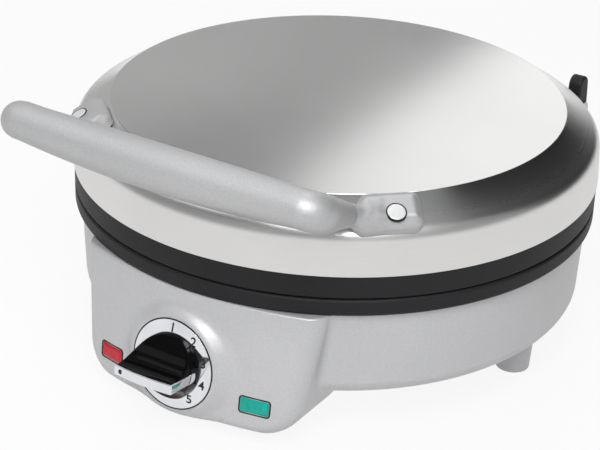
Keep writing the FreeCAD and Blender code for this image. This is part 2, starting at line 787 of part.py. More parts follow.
def housing():
    """Moulded shell: the bowl, the control panel with its chin, and the dial's boss."""
    shell = bowl(0).fuse([panel_block(0), dial_boss()])
    shell = shell.cut(bowl(housing_wall).fuse(panel_block(housing_wall)))
    room = bowl_clearance + housing_wall
    service = Vector(0, 0, room - 2 * housing_wall)
    shell = shell.cut(Part.makeCylinder(floor_hole, 2 * housing_wall, service))
    posts = bracket_posts(bracket_post, -housing_wall / 2, -bracket_depth)
    for angle in leg_angles.values():
        posts.append(Part.makeCylinder(leg_boss_radius, housing_wall + leg_boss_height,
                                       round_the_axis(leg_circle, angle, room)))
    for angle in bottom_screw_angles:
        posts.append(Part.makeCylinder(bottom_boss_radius, housing_wall + bottom_boss_height,
                                       round_the_axis(bottom_screw_circle(), angle, bowl_clearance)))
    shell = shell.fuse(posts)
    cuts = bracket_posts(small_shank + thread_gap, -housing_wall, -bracket_depth - 1)
    cuts.append(on_panel(rod(boss_bore, out(boss_height + 1), out(-2 * housing_wall))))
    for angle in (-lamp_angle, lamp_angle):
        cuts.append(on_panel(lens_plug(lens_gap, boss_height, -2 * housing_wall), angle))
    for angle in leg_angles.values():
        cuts.append(Part.makeCylinder(screw_shank + hole_gap, 2 * room, round_the_axis(leg_circle, angle)))
    for angle in bottom_screw_angles:
        start = round_the_axis(bottom_screw_circle(), angle, bowl_clearance - 1)
        cuts.append(Part.makeCylinder(screw_shank + thread_gap, bottom_screw_length + 1, start))
    gland_start = Vector(0, bowl_wall_radius - 4 * housing_wall, gland_height)
    rearward = Vector(0, 1, 0)
    cuts.append(Part.makeCylinder(gland_body_radius + hole_gap, 8 * housing_wall, gland_start, rearward))
    return shell.cut(cuts).removeSplitter()


def bottom_screw_circle():
    """Radius of the bottom cover's screws, midway across its overlap."""
    return floor_hole + bottom_overlap / 2


def bottom_cover():
    """Sheet cover over the service hole, cut clear of the chin and pierced with vents."""
    low = bowl_clearance - bottom_sheet
    plate = Part.makeCylinder(floor_hole + bottom_overlap, bottom_sheet, Vector(0, 0, low))
    chin = panel_rear - 2 * seat_gap
    room = 4 * panel_bow
    plate = plate.cut(slab(room, room, 2 * room, Vector(-room / 2, -chin - room, -room)))
    cuts = []
    for index in range(vent_count):
        slot = slab(vent_length, vent_width, 4 * bottom_sheet,
                    Vector(vent_circle - vent_length / 2, -vent_width / 2, low - bottom_sheet))
        slot.rotate(Vector(), up, (index + 0.5) * 360 / vent_count)
        cuts.append(slot)
    for angle in bottom_screw_angles:
        start = round_the_axis(bottom_screw_circle(), angle, low - bottom_sheet)
        cuts.append(Part.makeCylinder(screw_shank + hole_gap, 4 * bottom_sheet, start))
    for x in (-block_screw_spacing / 2, block_screw_spacing / 2):
        start = Vector(x, block_y, low - bottom_sheet)
        cuts.append(Part.makeCylinder(small_shank + thread_gap, 4 * bottom_sheet, start))
    return plate.cut(cuts)


def bottom_screws():
    """Screws that hold the bottom cover."""
    low = bowl_clearance - bottom_sheet
    screws = []
    for angle in bottom_screw_angles:
        head = round_the_axis(bottom_screw_circle(), angle, low)
        screws.append(screw(head + up * bottom_screw_length, head))
    return Part.makeCompound(screws)


# Legs and pads
def leg(angle):
    """Tapering leg whose top follows the bowl."""
    top = bowl_curve_start
    foot = round_the_axis(leg_circle, angle, foot_thickness)
    post = Part.makeCone(leg_foot_radius, leg_top_radius, top - foot_thickness, foot, up)
    post = post.cut(bowl(-seat_gap))
    stem = Part.makeCylinder(foot_stem_radius + thread_gap, foot_stem_height + seat_gap, foot)
    head = bowl_clearance + housing_wall + housing_wall + leg_boss_height
    tip = Vector(foot.x, foot.y, head - leg_screw_length - seat_gap)
    hole = rod(screw_shank + thread_gap, tip, Vector(foot.x, foot.y, top))
    return post.cut([stem, hole]).removeSplitter()


def leg_screws():
    """Screws from inside the housing down into the legs."""
    head = bowl_clearance + housing_wall + housing_wall + leg_boss_height
    screws = []
    for angle in leg_angles.values():
        seat = round_the_axis(leg_circle, angle, head)
        screws.append(screw(seat - up * leg_screw_length, seat))
    return Part.makeCompound(screws)


def foot_pads():
    """Rubber pads plugged into the legs."""
    pads = []
    for angle in leg_angles.values():
        foot = round_the_axis(leg_circle, angle)
        pad = Part.makeCylinder(foot_radius, foot_thickness, foot)
        stem = Part.makeCylinder(foot_stem_radius, foot_stem_height, foot + up * foot_thickness)
        pads.append(pad.fuse(stem).removeSplitter())
    return Part.makeCompound(pads)


def front_pads():
    """Rubber pads under the chin."""
    y = -panel_front + front_pad_inset
    return Part.makeCompound([Part.makeCylinder(front_pad_radius, panel_clearance, Vector(x, y, 0))
                              for x in (front_pad_x, -front_pad_x)])


# Dial, knob and thermostat
def dial_ring():
    """Bright ring that carries the scale."""
    ring = rod(ring_radius, out(boss_height), out(ring_top))
    return on_panel(ring.cut(rod(ring_bore, out(boss_height - 1), out(ring_top + 1))))


def knob():
    """Round knob hollowed on both sides to leave a grip, with a groove for the strip in its front."""
    low = ring_top + knob_gap
    front = low + knob_height
    body = rod(knob_radius, out(low), out(front))
    near = Vector(0, knob_blade, front)
    edge = Vector(0, knob_radius, low + knob_base)
    chord = edge - near
    lift = math.sqrt(knob_scoop ** 2 - (chord.Length / 2) ** 2)
    across = Vector(0, -chord.z, chord.y).normalize()
    middle = (near + edge) * 0.5 + across * lift
    for side in (1, -1):
        start = out(middle.z, -2 * knob_radius, side * middle.y)
        body = body.cut(Part.makeCylinder(knob_scoop, 4 * knob_radius, start, Vector(1, 0, 0)))
    hub = rod(knob_hub_radius, out(low - knob_hub_depth), out(low))
    body = body.fuse(hub)
    groove = slab(2 * knob_radius, strip_sheet, strip_height + 2 * thread_gap,
                  Vector(-knob_radius, -front, -strip_height / 2 - thread_gap))
    deep = low - knob_hub_depth
    bore = rod(shaft_radius + thread_gap, out(deep - 1), out(deep + shaft_in_knob))
    return on_panel(body.cut([groove, bore]).removeSplitter())


def knob_strip():
    """Bright strip along the front of the grip."""
    front = ring_top + knob_gap + knob_height
    strip = slab(2 * knob_radius, strip_sheet + strip_proud, strip_height,
                 Vector(-knob_radius, -front - strip_proud, -strip_height / 2))
    return on_panel(strip.common(rod(knob_radius, out(front - knob_height), out(front + 1))))


def shaft():
    """Shaft from the thermostat to the knob."""
    start = -bracket_depth - bracket_sheet - shaft_in_body
    end = ring_top + knob_gap - knob_hub_depth + shaft_in_knob
    return on_panel(rod(shaft_radius, out(start), out(end)))


def thermostat_bracket():
    """Sheet bracket on the two posts behind the dial."""
    plate = slab(bracket_width, bracket_sheet, bracket_height,
                 Vector(-bracket_width / 2, bracket_depth, -bracket_height / 2))
    near = -bracket_depth + 1
    far = -bracket_depth - 2 * bracket_sheet
    plate = plate.cut(rod(thermostat_nose + hole_gap, out(near), out(far)))
    holes = bracket_posts(small_shank + hole_gap, near, far)
    return on_panel(plate).cut(holes)


def thermostat():
    """Thermostat behind the bracket, with a nose that guides the shaft."""
    back = bracket_depth + bracket_sheet
    case = slab(thermostat_width, thermostat_depth, thermostat_height,
                Vector(-thermostat_width / 2, back, -thermostat_height / 2))
    tip = -back + bracket_sheet + thermostat_nose_length
    case = case.fuse(rod(thermostat_nose, out(-back - 1), out(tip)))
    bore = rod(shaft_radius + running_gap, out(0), out(-back - shaft_in_body - seat_gap))
    return on_panel(case.cut(bore).removeSplitter())


def thermostat_screws():
    """Screws that hold the bracket to its posts."""
    head = -bracket_depth - bracket_sheet
    screws = []
    for x in (-bracket_post_spacing / 2, bracket_post_spacing / 2):
        tip = out(head + bracket_screw_length, x)
        screws.append(on_panel(screw(tip, out(head, x), small_shank, small_head, small_head_height)))
    return Part.makeCompound(screws)


# Lamps
def flange_depth():
    """Depth of the lens's flange, clear of the bowed wall behind it."""
    half = lens_width / 2 + lens_flange
    return housing_wall + seat_gap + half ** 2 / (2 * (panel_bow - housing_wall))


def lens(angle):
    """Coloured window with a flange behind the panel."""
    depth = flange_depth()
    plug = lens_plug(0, lens_proud, -depth)
    flange = lens_plug(lens_flange, -depth, -depth - lens_flange_sheet)
    return on_panel(plug.fuse(flange).removeSplitter(), angle)


def lamp_holder(angle):
    """Open box behind the lens that holds the bulb."""
    depth = flange_depth() + lens_flange_sheet
    case = lens_plug(0, -depth, -depth - holder_depth)
    hollow = lens_plug(-holder_wall, -depth + 1, -depth - holder_depth + holder_wall)
    seat = rod(bulb_radius + thread_gap, out(0, 0, -lamp_drop), out(-depth - 2 * holder_depth, 0, -lamp_drop))
    return on_panel(case.cut([hollow, seat]), angle)


def bulb(angle):
    """Neon bulb that stands in the holder's back wall."""
    back = flange_depth() + lens_flange_sheet + holder_depth
    glass = rod(bulb_radius, out(-back, 0, -lamp_drop), out(-back + bulb_length - bulb_radius, 0, -lamp_drop))
    tip = Part.makeSphere(bulb_radius, out(-back + bulb_length - bulb_radius, 0, -lamp_drop))
    return on_panel(glass.fuse(tip).removeSplitter(), angle)


# Wiring parts
def cord_gland():
    """Bush in the rear wall where the lead would pass."""
    rise = (gland_height + gland_flange_radius - bowl_curve_start) / (lower_rim_foot - bowl_curve_start)
    face = bowl_wall_radius + bowl_wall_draft * rise + seat_gap
    start = face - housing_wall - gland_inside
    rear = Vector(0, 1, 0)
    base = Vector(0, 0, gland_height)
    body = rod(gland_body_radius, base + rear * start, base + rear * (face + gland_flange))
    flange = rod(gland_flange_radius, base + rear * face, base + rear * (face + gland_flange))
    bore = rod(gland_bore, base + rear * (start - 1), base + rear * (face + gland_flange + 1))
    return body.fuse(flange).cut(bore).removeSplitter()


def terminal_block():
    """Moulded block on the bottom cover where the leads would join."""
    block = slab(block_width, block_depth, block_height,
                 Vector(-block_width / 2, block_y - block_depth / 2, bowl_clearance))
    cuts = []
    for x in (-block_screw_spacing / 2, block_screw_spacing / 2):
        seat = Vector(x, block_y, bowl_clearance)
        top = seat + up * block_height
        cuts.append(rod(small_shank + hole_gap, seat - up, top))
        recess = small_head_height + block_head_clearance
        cuts.append(rod(small_head + hole_gap, top - up * recess, top + up))
    return block.cut(cuts)


def terminal_screws():
    """Screws that hold the terminal block to the bottom cover."""
    screws = []
    for x in (-block_screw_spacing / 2, block_screw_spacing / 2):
        head = Vector(x, block_y, bowl_clearance + block_height - small_head_height - block_head_clearance)
        tip = Vector(x, block_y, bowl_clearance - block_screw_depth)
        screws.append(screw(tip, head, small_shank, small_head, small_head_height))
    return Part.makeCompound(screws)


def thermal_fuse():
    """Fuse that lies along the underside of the lower reflector."""
    z = reflector_back() - fuse_radius - heater_gap
    return rod(fuse_radius, Vector(-fuse_length / 2, fuse_y, z), Vector(fuse_length / 2, fuse_y, z))


def fuse_strap():
    """Strap that holds the fuse to the reflector."""
    top = reflector_back()
    gap = heater_gap
    half = fuse_radius + gap
    sheet = fuse_strap_sheet
    deep = top - 2 * fuse_radius - 2 * gap
    width = fuse_strap_width
    lugs = [(fuse_y - half - fuse_strap_lug, top), (fuse_y - half, top), (fuse_y - half, deep),
            (fuse_y + half, deep), (fuse_y + half, top), (fuse_y + half + fuse_strap_lug, top),
            (fuse_y + half + fuse_strap_lug, top - sheet), (fuse_y + half + sheet, top - sheet),
            (fuse_y + half + sheet, deep - sheet), (fuse_y - half - sheet, deep - sheet),
            (fuse_y - half - sheet, top - sheet), (fuse_y - half - fuse_strap_lug, top - sheet)]
    return prism(lugs, -width / 2, width)


# The whole assembly
pieces = {
    "lid_cover": lid_cover(),
    "upper_rim": upper_rim(),
    "upper_plate": turned_over(waffle_plate()),
    "upper_plate_edge": turned_over(plate_edge()),
    "upper_heater": turned_over(heater()),
    "upper_reflector": turned_over(reflector()),
    "upper_plate_screws": turned_over(plate_screws()),
    "handle": handle(),
    "handle_screws": handle_screws(),
    "handle_caps": handle_caps(),
    "handle_backing_plates": backing_plates(),
    "base_housing": housing(),
    "lower_rim": lower_rim(),
    "lower_plate": waffle_plate(),
    "lower_plate_edge": plate_edge(),
    "lower_heater": heater(),
    "lower_reflector": reflector(),
    "lower_plate_screws": plate_screws(),
    "thermal_fuse": thermal_fuse(),
    "fuse_strap": fuse_strap(),
    "bottom_cover": bottom_cover(),
    "bottom_cover_screws": bottom_screws(),
    "leg_screws": leg_screws(),
    "foot_pads": foot_pads(),
    "front_pads": front_pads(),
    "hinge_pin_right": hinge_pin(),
    "hinge_pin_left": mirrored(hinge_pin()),
    "hinge_clips": hinge_clips(),
    "dial_ring": dial_ring(),
    "knob": knob(),
    "knob_strip": knob_strip(),
    "thermostat_shaft": shaft(),
    "thermostat_body": thermostat(),
    "thermostat_bracket": thermostat_bracket(),
    "thermostat_screws": thermostat_screws(),
    "red_lens": lens(-lamp_angle),
    "green_lens": lens(lamp_angle),
    "red_lamp_holder": lamp_holder(-lamp_angle),
    "green_lamp_holder": lamp_holder(lamp_angle),
    "red_bulb": bulb(-lamp_angle),
    "green_bulb": bulb(lamp_angle),
    "cord_gland": cord_gland(),
    "terminal_block": terminal_block(),
    "terminal_screws": terminal_screws(),
}
for place, angle in leg_angles.items():
    pieces["leg_" + place] = leg(angle)

# The origin moves to the middle of the part's length, on the table
ends = [pieces[name].optimalBoundingBox(False) for name in ("knob_strip", "lower_rim", "handle")]
length_middle = (min(box.YMin for box in ends) + max(box.YMax for box in ends)) / 2
os.makedirs("parts", exist_ok=True)
for name, shape in pieces.items():
    shape.translate(Vector(0, -length_middle, 0))
    shape.exportStep("parts/" + name + ".step")
    box = shape.BoundBox
    print("%-22s solids %2d valid %s volume %9.0f  z %6.1f to %6.1f" % (
        name, len(shape.Solids), shape.isValid(), shape.Volume, box.ZMin, box.ZMax))
print("lid axis at y %.3f, hinge at y %.3f z %.3f" % (-length_middle, hinge_reach - length_middle, hinge_z))
dial = panel_face + panel_turn.multVec(out(ring_top)) - Vector(0, length_middle, 0)
print("dial at y %.3f z %.3f" % (dial.y, dial.z))
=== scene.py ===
"""Looks of a round countertop waffle maker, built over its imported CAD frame.

Sizes are in millimetres in the lid's own frame: the lid's axis at x = y = 0, the table at z = 0 and
the front towards -Y. They become metres in the part's frame when a mesh is made.
"""
from __future__ import annotations

import json
import logging
import math
from dataclasses import dataclass
from enum import Enum
from typing import Callable, Optional, Sequence

import bmesh
import bpy
import numpy as np
from mathutils import Matrix, Vector

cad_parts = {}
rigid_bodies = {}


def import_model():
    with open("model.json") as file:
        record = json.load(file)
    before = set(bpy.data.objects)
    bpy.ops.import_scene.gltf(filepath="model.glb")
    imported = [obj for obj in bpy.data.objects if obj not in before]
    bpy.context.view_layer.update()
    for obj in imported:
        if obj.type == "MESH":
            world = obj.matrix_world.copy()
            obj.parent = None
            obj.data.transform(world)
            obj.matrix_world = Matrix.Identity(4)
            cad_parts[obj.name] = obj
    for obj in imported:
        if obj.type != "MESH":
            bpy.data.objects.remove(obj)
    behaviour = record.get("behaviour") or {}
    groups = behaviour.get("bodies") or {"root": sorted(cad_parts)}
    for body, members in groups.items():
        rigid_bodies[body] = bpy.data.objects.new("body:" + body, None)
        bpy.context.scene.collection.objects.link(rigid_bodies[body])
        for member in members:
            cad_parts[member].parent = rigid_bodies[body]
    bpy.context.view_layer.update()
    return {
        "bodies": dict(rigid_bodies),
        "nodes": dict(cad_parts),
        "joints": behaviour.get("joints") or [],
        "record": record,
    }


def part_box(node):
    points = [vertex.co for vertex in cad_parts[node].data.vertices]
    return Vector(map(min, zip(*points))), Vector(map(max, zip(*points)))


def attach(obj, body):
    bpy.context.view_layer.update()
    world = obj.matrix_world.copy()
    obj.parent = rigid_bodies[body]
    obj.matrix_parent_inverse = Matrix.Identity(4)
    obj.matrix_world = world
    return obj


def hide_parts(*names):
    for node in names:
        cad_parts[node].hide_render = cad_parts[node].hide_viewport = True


LOG = logging.getLogger("waffle_maker")
MM = 0.001

Array = np.ndarray
Field = Callable[[Array], Array]
Triple = Sequence[float]
Corner = tuple[float, float, float]
Tree = bpy.types.NodeTree
Node = bpy.types.Node
Socket = bpy.types.NodeSocket
Material = bpy.types.Material
Mesh = bpy.types.Mesh
Thing = bpy.types.Object

# A rounded corner takes up to this share of a side. Slighter cuts and turns stay as they are.
CORNER_SHARE = 0.49
LEAST_CUT = 1e-4
LEAST_TURN = 1e-3
# A shorter length than the first counts as nothing, and nothing is divided by less than the second.
TINY = 1e-6
LEAST_LENGTH = 1e-9
# Degrees between two faces past which their edge is drawn sharp.
SHARP_EDGE = 32.0
# Carved points are drawn onto the surface in a few rounds, by slopes taken over a share of the step.
DRAW_ROUNDS = 4
SLOPE_REACH = 0.02
LEAST_SLOPE = 0.05
# Nearly all of a noise's values lie between these two.
NOISE_LOW = 0.3
NOISE_HIGH = 0.7


class Body(Enum):
    """CAD bodies that the pieces ride on."""

    BASE = "base"
    LID = "lid"
    KNOB = "dial_knob"


# Nodes and colours


def linear(code: str) -> tuple[float, float, float, float]:
    """Turns an sRGB hex colour into linear values.

    Args:
        code: Six hex digits after a hash sign.

    Returns:
        Linear red, green, blue and full alpha.
    """
    parts = [int(code[i:i + 2], 16) / 255 for i in (1, 3, 5)]
    red, green, blue = [p / 12.92 if p <= 0.04045 else ((p + 0.055) / 1.055) ** 2.4 for p in parts]
    return red, green, blue, 1.0


def add_node(tree: Tree, kind: str, settings: Optional[dict] = None, inputs: Optional[dict] = None) -> Node:
    """Adds a node with its settings, values and links.

    Args:
        tree: Node tree that takes the node.
        kind: Type name of the node.
        settings: Properties of the node by name.
        inputs: Values or output sockets by the input's name or index.

    Returns:
        The new node.
    """
    node = tree.nodes.new(kind)
    for name, value in (settings or {}).items():
        setattr(node, name, value)
    for key, value in (inputs or {}).items():
        if isinstance(value, Socket):
            tree.links.new(value, node.inputs[key])
        else:
            node.inputs[key].default_value = value
    return node


def start_tree(name: str, kinds: dict[str, str]) -> tuple[Tree, dict[str, str]]:
    """Starts a Geometry Nodes tree.

    Args:
        name: Name of the tree.
        kinds: Socket kinds by the names of its inputs.

    Returns:
        The tree, and its inputs' identifiers by name.
    """
    tree = bpy.data.node_groups.new(name, "GeometryNodeTree")
    names = {}
    for label, kind in kinds.items():
        socket = tree.interface.new_socket(label, in_out="INPUT", socket_type="NodeSocket" + kind)
        names[label] = socket.identifier
    tree.interface.new_socket("Result", in_out="OUTPUT", socket_type="NodeSocketGeometry")
    return tree, names


def put_copies(tree: Tree, spots: Socket, thing: Socket) -> Socket:
    """Puts copies of an object on spots.

    Args:
        tree: Geometry Nodes tree.
        spots: Socket of the spots.
        thing: Socket of the object.

    Returns:
        Output socket of the copies.
    """
    info = add_node(tree, "GeometryNodeObjectInfo", inputs={"Object": thing})
    put = add_node(tree, "GeometryNodeInstanceOnPoints", inputs={
        "Points": spots, "Instance": info.outputs["Geometry"]})
    return put.outputs["Instances"]


def end_tree(tree: Tree, form: Socket, finish: Socket) -> None:
    """Ends a tree with plain geometry in one finish.

    Args:
        tree: Geometry Nodes tree.
        form: Socket of the geometry.
        finish: Socket of the material.
    """
    real = add_node(tree, "GeometryNodeRealizeInstances", inputs={"Geometry": form})
    paint = add_node(tree, "GeometryNodeSetMaterial", inputs={
        "Geometry": real.outputs["Geometry"], "Material": finish})
    add_node(tree, "NodeGroupOutput", inputs={"Result": paint.outputs["Geometry"]})


# Shapes


@dataclass
class Shape:
    """Points in millimetres in the lid's frame, the faces between them and, where known, their normals."""

    points: Array
    faces: list
    normals: Optional[Array] = None

    def moved(self, origin: Triple, axes: Sequence[Triple]) -> Shape:
        """Places a shape drawn round its own Z axis.

        Args:
            origin: Where the shape's own origin goes.
            axes: Directions of the shape's own X, Y and Z axes.

        Returns:
            The placed shape.
        """
        turn = np.array(axes, dtype=float)
        normals = None if self.normals is None else self.normals @ turn
        return Shape(self.points @ turn + np.asarray(origin, dtype=float), self.faces, normals)

    def joined(self, other: Shape) -> Shape:
        """Joins this shape and another.

        Args:
            other: The other shape.

        Returns:
            Both as one shape.
        """
        count = len(self.points)
        faces = list(self.faces) + [tuple(i + count for i in face) for face in other.faces]
        normals = None
        if self.normals is not None and other.normals is not None:
            normals = np.concatenate([self.normals, other.normals])
        return Shape(np.concatenate([self.points, other.points]), faces, normals)

    def paired(self) -> Shape:
        """Adds the mirror image on the other side of the object.

        Returns:
            Both as one shape.
        """
        side = np.array([-1.0, 1.0, 1.0])
        faces = [face[::-1] for face in self.faces]
        return self.joined(Shape(self.points * side, faces, self.normals * side))

    def to_mesh(self, name: str, axis_y: float) -> Mesh:
        """Makes a mesh in metres in the part's frame.

        Args:
            name: Name of the mesh.
            axis_y: Place of the lid's axis along Y, in metres.

        Returns:
            The smooth-shaded mesh.
        """
        mesh = bpy.data.meshes.new(name)
        mesh.from_pydata((self.points * MM + np.array([0.0, axis_y, 0.0])).tolist(), [], self.faces)
        mesh.validate()
        mesh.shade_smooth()
        if self.normals is None:
            mesh.set_sharp_from_angle(angle=math.radians(SHARP_EDGE))
        elif len(mesh.vertices) == len(self.normals):
            mesh.normals_split_custom_set_from_vertices(self.normals.tolist())
        return mesh


def rounded(corners: Sequence[Corner], closed: bool = True, steps: int = 5) -> tuple[Array, Array]:
    """Rounds the corners of an outline that has its inside on the left.

    Args:
        corners: Across, up and rounding radius of each corner.
        closed: Whether the last corner joins the first.
        steps: Lengths in each rounded corner.

    Returns:
        Points of the outline, and a unit normal to the right of the way at each.
    """
    places = np.array([c[:2] for c in corners], dtype=float)
    count = len(places)
    points: list = []
    normals: list = []
    for index, corner in enumerate(corners):
        here = places[index]
        before = here - places[index - 1]
        after = places[(index + 1) % count] - here
        if not closed and index == 0:
            before = after
        if not closed and index == count - 1:
            after = before
        room = min(np.hypot(*before), np.hypot(*after)) * CORNER_SHARE
        before = before / np.hypot(*before)
        after = after / np.hypot(*after)
        turn = math.atan2(before[0] * after[1] - before[1] * after[0], float(before @ after))
        side = np.array([before[1], -before[0]])
        cut = min(corner[2] * math.tan(abs(turn) / 2), room)
        if cut < LEAST_CUT or abs(turn) < LEAST_TURN:
            points.append(here)
            middle = side + np.array([after[1], -after[0]])
            normals.append(middle / np.hypot(*middle))
            continue
        radius = cut / math.tan(abs(turn) / 2)
        start = here - before * cut
        centre = start - side * radius * math.copysign(1, turn)
        for step in range(steps + 1):
            angle = turn * step / steps
            c, s = math.cos(angle), math.sin(angle)
            normal = np.array([c * side[0] - s * side[1], s * side[0] + c * side[1]])
            points.append(centre + normal * radius * math.copysign(1, turn))
            normals.append(normal)
    return np.array(points), np.array(normals)


def turned(corners: Sequence[Corner], closed: bool = True, segments: int = 192, steps: int = 5) -> Shape:
    """Turns an outline round the Z axis.

    Args:
        corners: Radius, height and rounding of each corner, with the inside on the left.
        closed: Whether the outline is a loop, or else starts and ends on the axis.
        segments: Faces round the axis.
        steps: Lengths in each rounded corner.

    Returns:
        The turned shape.
    """
    outline, slopes = rounded(corners, closed, steps)
    angles = np.linspace(0, 2 * math.pi, segments, endpoint=False)
    points: list = []
    normals: list = []
    rows: list = []
    for (radius, height), (lean, rise) in zip(outline, slopes):
        if radius < TINY:
            rows.append([len(points)] * segments)
            points.append((0.0, 0.0, height))
            normals.append((0.0, 0.0, math.copysign(1.0, rise)))
            continue
        rows.append(list(range(len(points), len(points) + segments)))
        for angle in angles:
            c, s = math.cos(angle), math.sin(angle)
            points.append((radius * c, radius * s, height))
            normals.append((lean * c, lean * s, rise))
    faces = []
    for index in range(len(rows) if closed else len(rows) - 1):
        low = rows[index]
        high = rows[(index + 1) % len(rows)]
        for here in range(segments):
            there = (here + 1) % segments
            ring = (low[here], low[there], high[there], high[here])
            face = tuple(dict.fromkeys(ring))
            if len(face) > 2:
                faces.append(face)
    return Shape(np.array(points), faces, np.array(normals))


def drawn_out(corners: Sequence[Corner], start: float, end: float) -> Shape:
    """Draws an outline out along X.

    Args:
        corners: Y, Z and rounding of each corner, with the inside on the left.
        start: X of one end.
        end: X of the other end.

    Returns:
        The closed bar.
    """
    outline, _ = rounded(corners)
    count = len(outline)
    points = [(x, y, z) for x in (start, end) for y, z in outline]
    faces: list = [tuple(range(count - 1, -1, -1)), tuple(range(count, 2 * count))]
    for here in range(count):
        there = (here + 1) % count
        faces.append((here, there, count + there, count + here))
    return Shape(np.array(points), faces)


# Fields: a field is negative inside a form, and about the distance in millimetres to its surface


def both(one: Array, two: Array, rounding: float) -> Array:
    """Returns the field of what lies in two forms, with the edge between them rounded."""
    inner = np.minimum(np.maximum(one, two), -rounding)
    return inner + np.hypot(np.maximum(one + rounding, 0), np.maximum(two + rounding, 0))


def either(one: Array, two: Array, fillet: float) -> Array:
    """Returns the field of two forms joined by a fillet."""
    return -both(-one, -two, fillet)


def limb(points: Array, start: Array, end: Array, radius: float, end_radius: float) -> Array:
    """Gives the field of a round bar that tapers between two points.

    Args:
        points: Places to measure, as rows.
        start: Middle of one end.
        end: Middle of the other end.
        radius: Radius at the start.
        end_radius: Radius at the end.

    Returns:
        The field at each place.
    """
    line = end - start
    share = np.clip((points - start) @ line / (line @ line), 0, 1)
    gap = points - start - share[:, None] * line
    return np.sqrt((gap * gap).sum(axis=1)) - radius - (end_radius - radius) * share


def slopes_of(form: Field, points: Array, reach: float) -> Array:
    """Gives the gradient of a field at each point.

    Args:
        form: The field.
        points: Places to measure, as rows.
        reach: Length over which the slope is taken.

    Returns:
        A row for each place.
    """
    columns = []
    for axis in range(3):
        step = np.zeros(3)
        step[axis] = reach
        columns.append((form(points + step) - form(points - step)) / (2 * reach))
    return np.stack(columns, axis=1)


@dataclass(frozen=True)
class Room:
    """The box that a field is meshed in.

    Attributes:
        low: Its lowest corner.
        high: Its highest corner.
        step: Size of the mesh's faces.
    """

    low: Triple
    high: Triple
    step: float


def carved(form: Field, room: Room) -> Shape:
    """Meshes the surface of a field and draws its points onto it.

    Args:
        form: Field of the form.
        room: Room that holds it.

    Returns:
        The closed surface, with normals from the field.
    """
    step = room.step
    lines = [np.arange(a, b + step, step) for a, b in zip(room.low, room.high)]
    grid = np.stack(np.meshgrid(*lines, indexing="ij"), axis=-1)
    size = grid.shape[:3]
    values = form(grid.reshape(-1, 3)).reshape(size)
    cells = tuple(n - 1 for n in size)
    total = np.zeros(cells + (3,))
    count = np.zeros(cells)
    crossings = []
    for axis in range(3):
        near = np.moveaxis(values, axis, 0)[:-1]
        far = np.moveaxis(values, axis, 0)[1:]
        crossed = (near < 0) != (far < 0)
        share = np.where(crossed, near / np.where(crossed, near - far, 1.0), 0.0)
        spots = np.moveaxis(grid, axis, 0)[:-1].copy()
        spots[..., axis] += share * step
        spots *= crossed[..., None]
        sums = np.moveaxis(total, axis, 0)
        counts = np.moveaxis(count, axis, 0)
        for a in (0, 1):
            for b in (0, 1):
                part = (slice(None), slice(a, a + sums.shape[1]), slice(b, b + sums.shape[2]))
                sums += spots[part]
                counts += crossed[part]
        crossings.append((crossed, near < 0))
    used = count > 0
    number = np.full(cells, -1)
    number[used] = np.arange(int(used.sum()))
    points = total[used] / count[used][:, None]
    faces = []
    for axis, (crossed, leaving) in enumerate(crossings):
        numbers = np.moveaxis(number, axis, 0)
        inner = crossed[:, 1:-1, 1:-1]
        out = leaving[:, 1:-1, 1:-1][inner]
        quads = [numbers[:, a:a + inner.shape[1], b:b + inner.shape[2]][inner]
                 for a, b in ((0, 0), (1, 0), (1, 1), (0, 1))]
        ring = np.stack(quads, axis=1)
        if axis == 1:
            out = ~out
        ring[~out] = ring[~out][:, ::-1]
        faces.append(ring)
    reach = step * SLOPE_REACH
    for _ in range(DRAW_ROUNDS):
        slope = slopes_of(form, points, reach)
        length = np.maximum((slope * slope).sum(axis=1), LEAST_SLOPE)
        move = np.clip(form(points) / length, -step / 2, step / 2)
        points = points - move[:, None] * slope
    slope = slopes_of(form, points, reach)
    normals = slope / np.maximum(np.linalg.norm(slope, axis=1), LEAST_LENGTH)[:, None]
    return Shape(points, [tuple(f) for f in np.concatenate(faces).tolist()], normals)


# Finishes


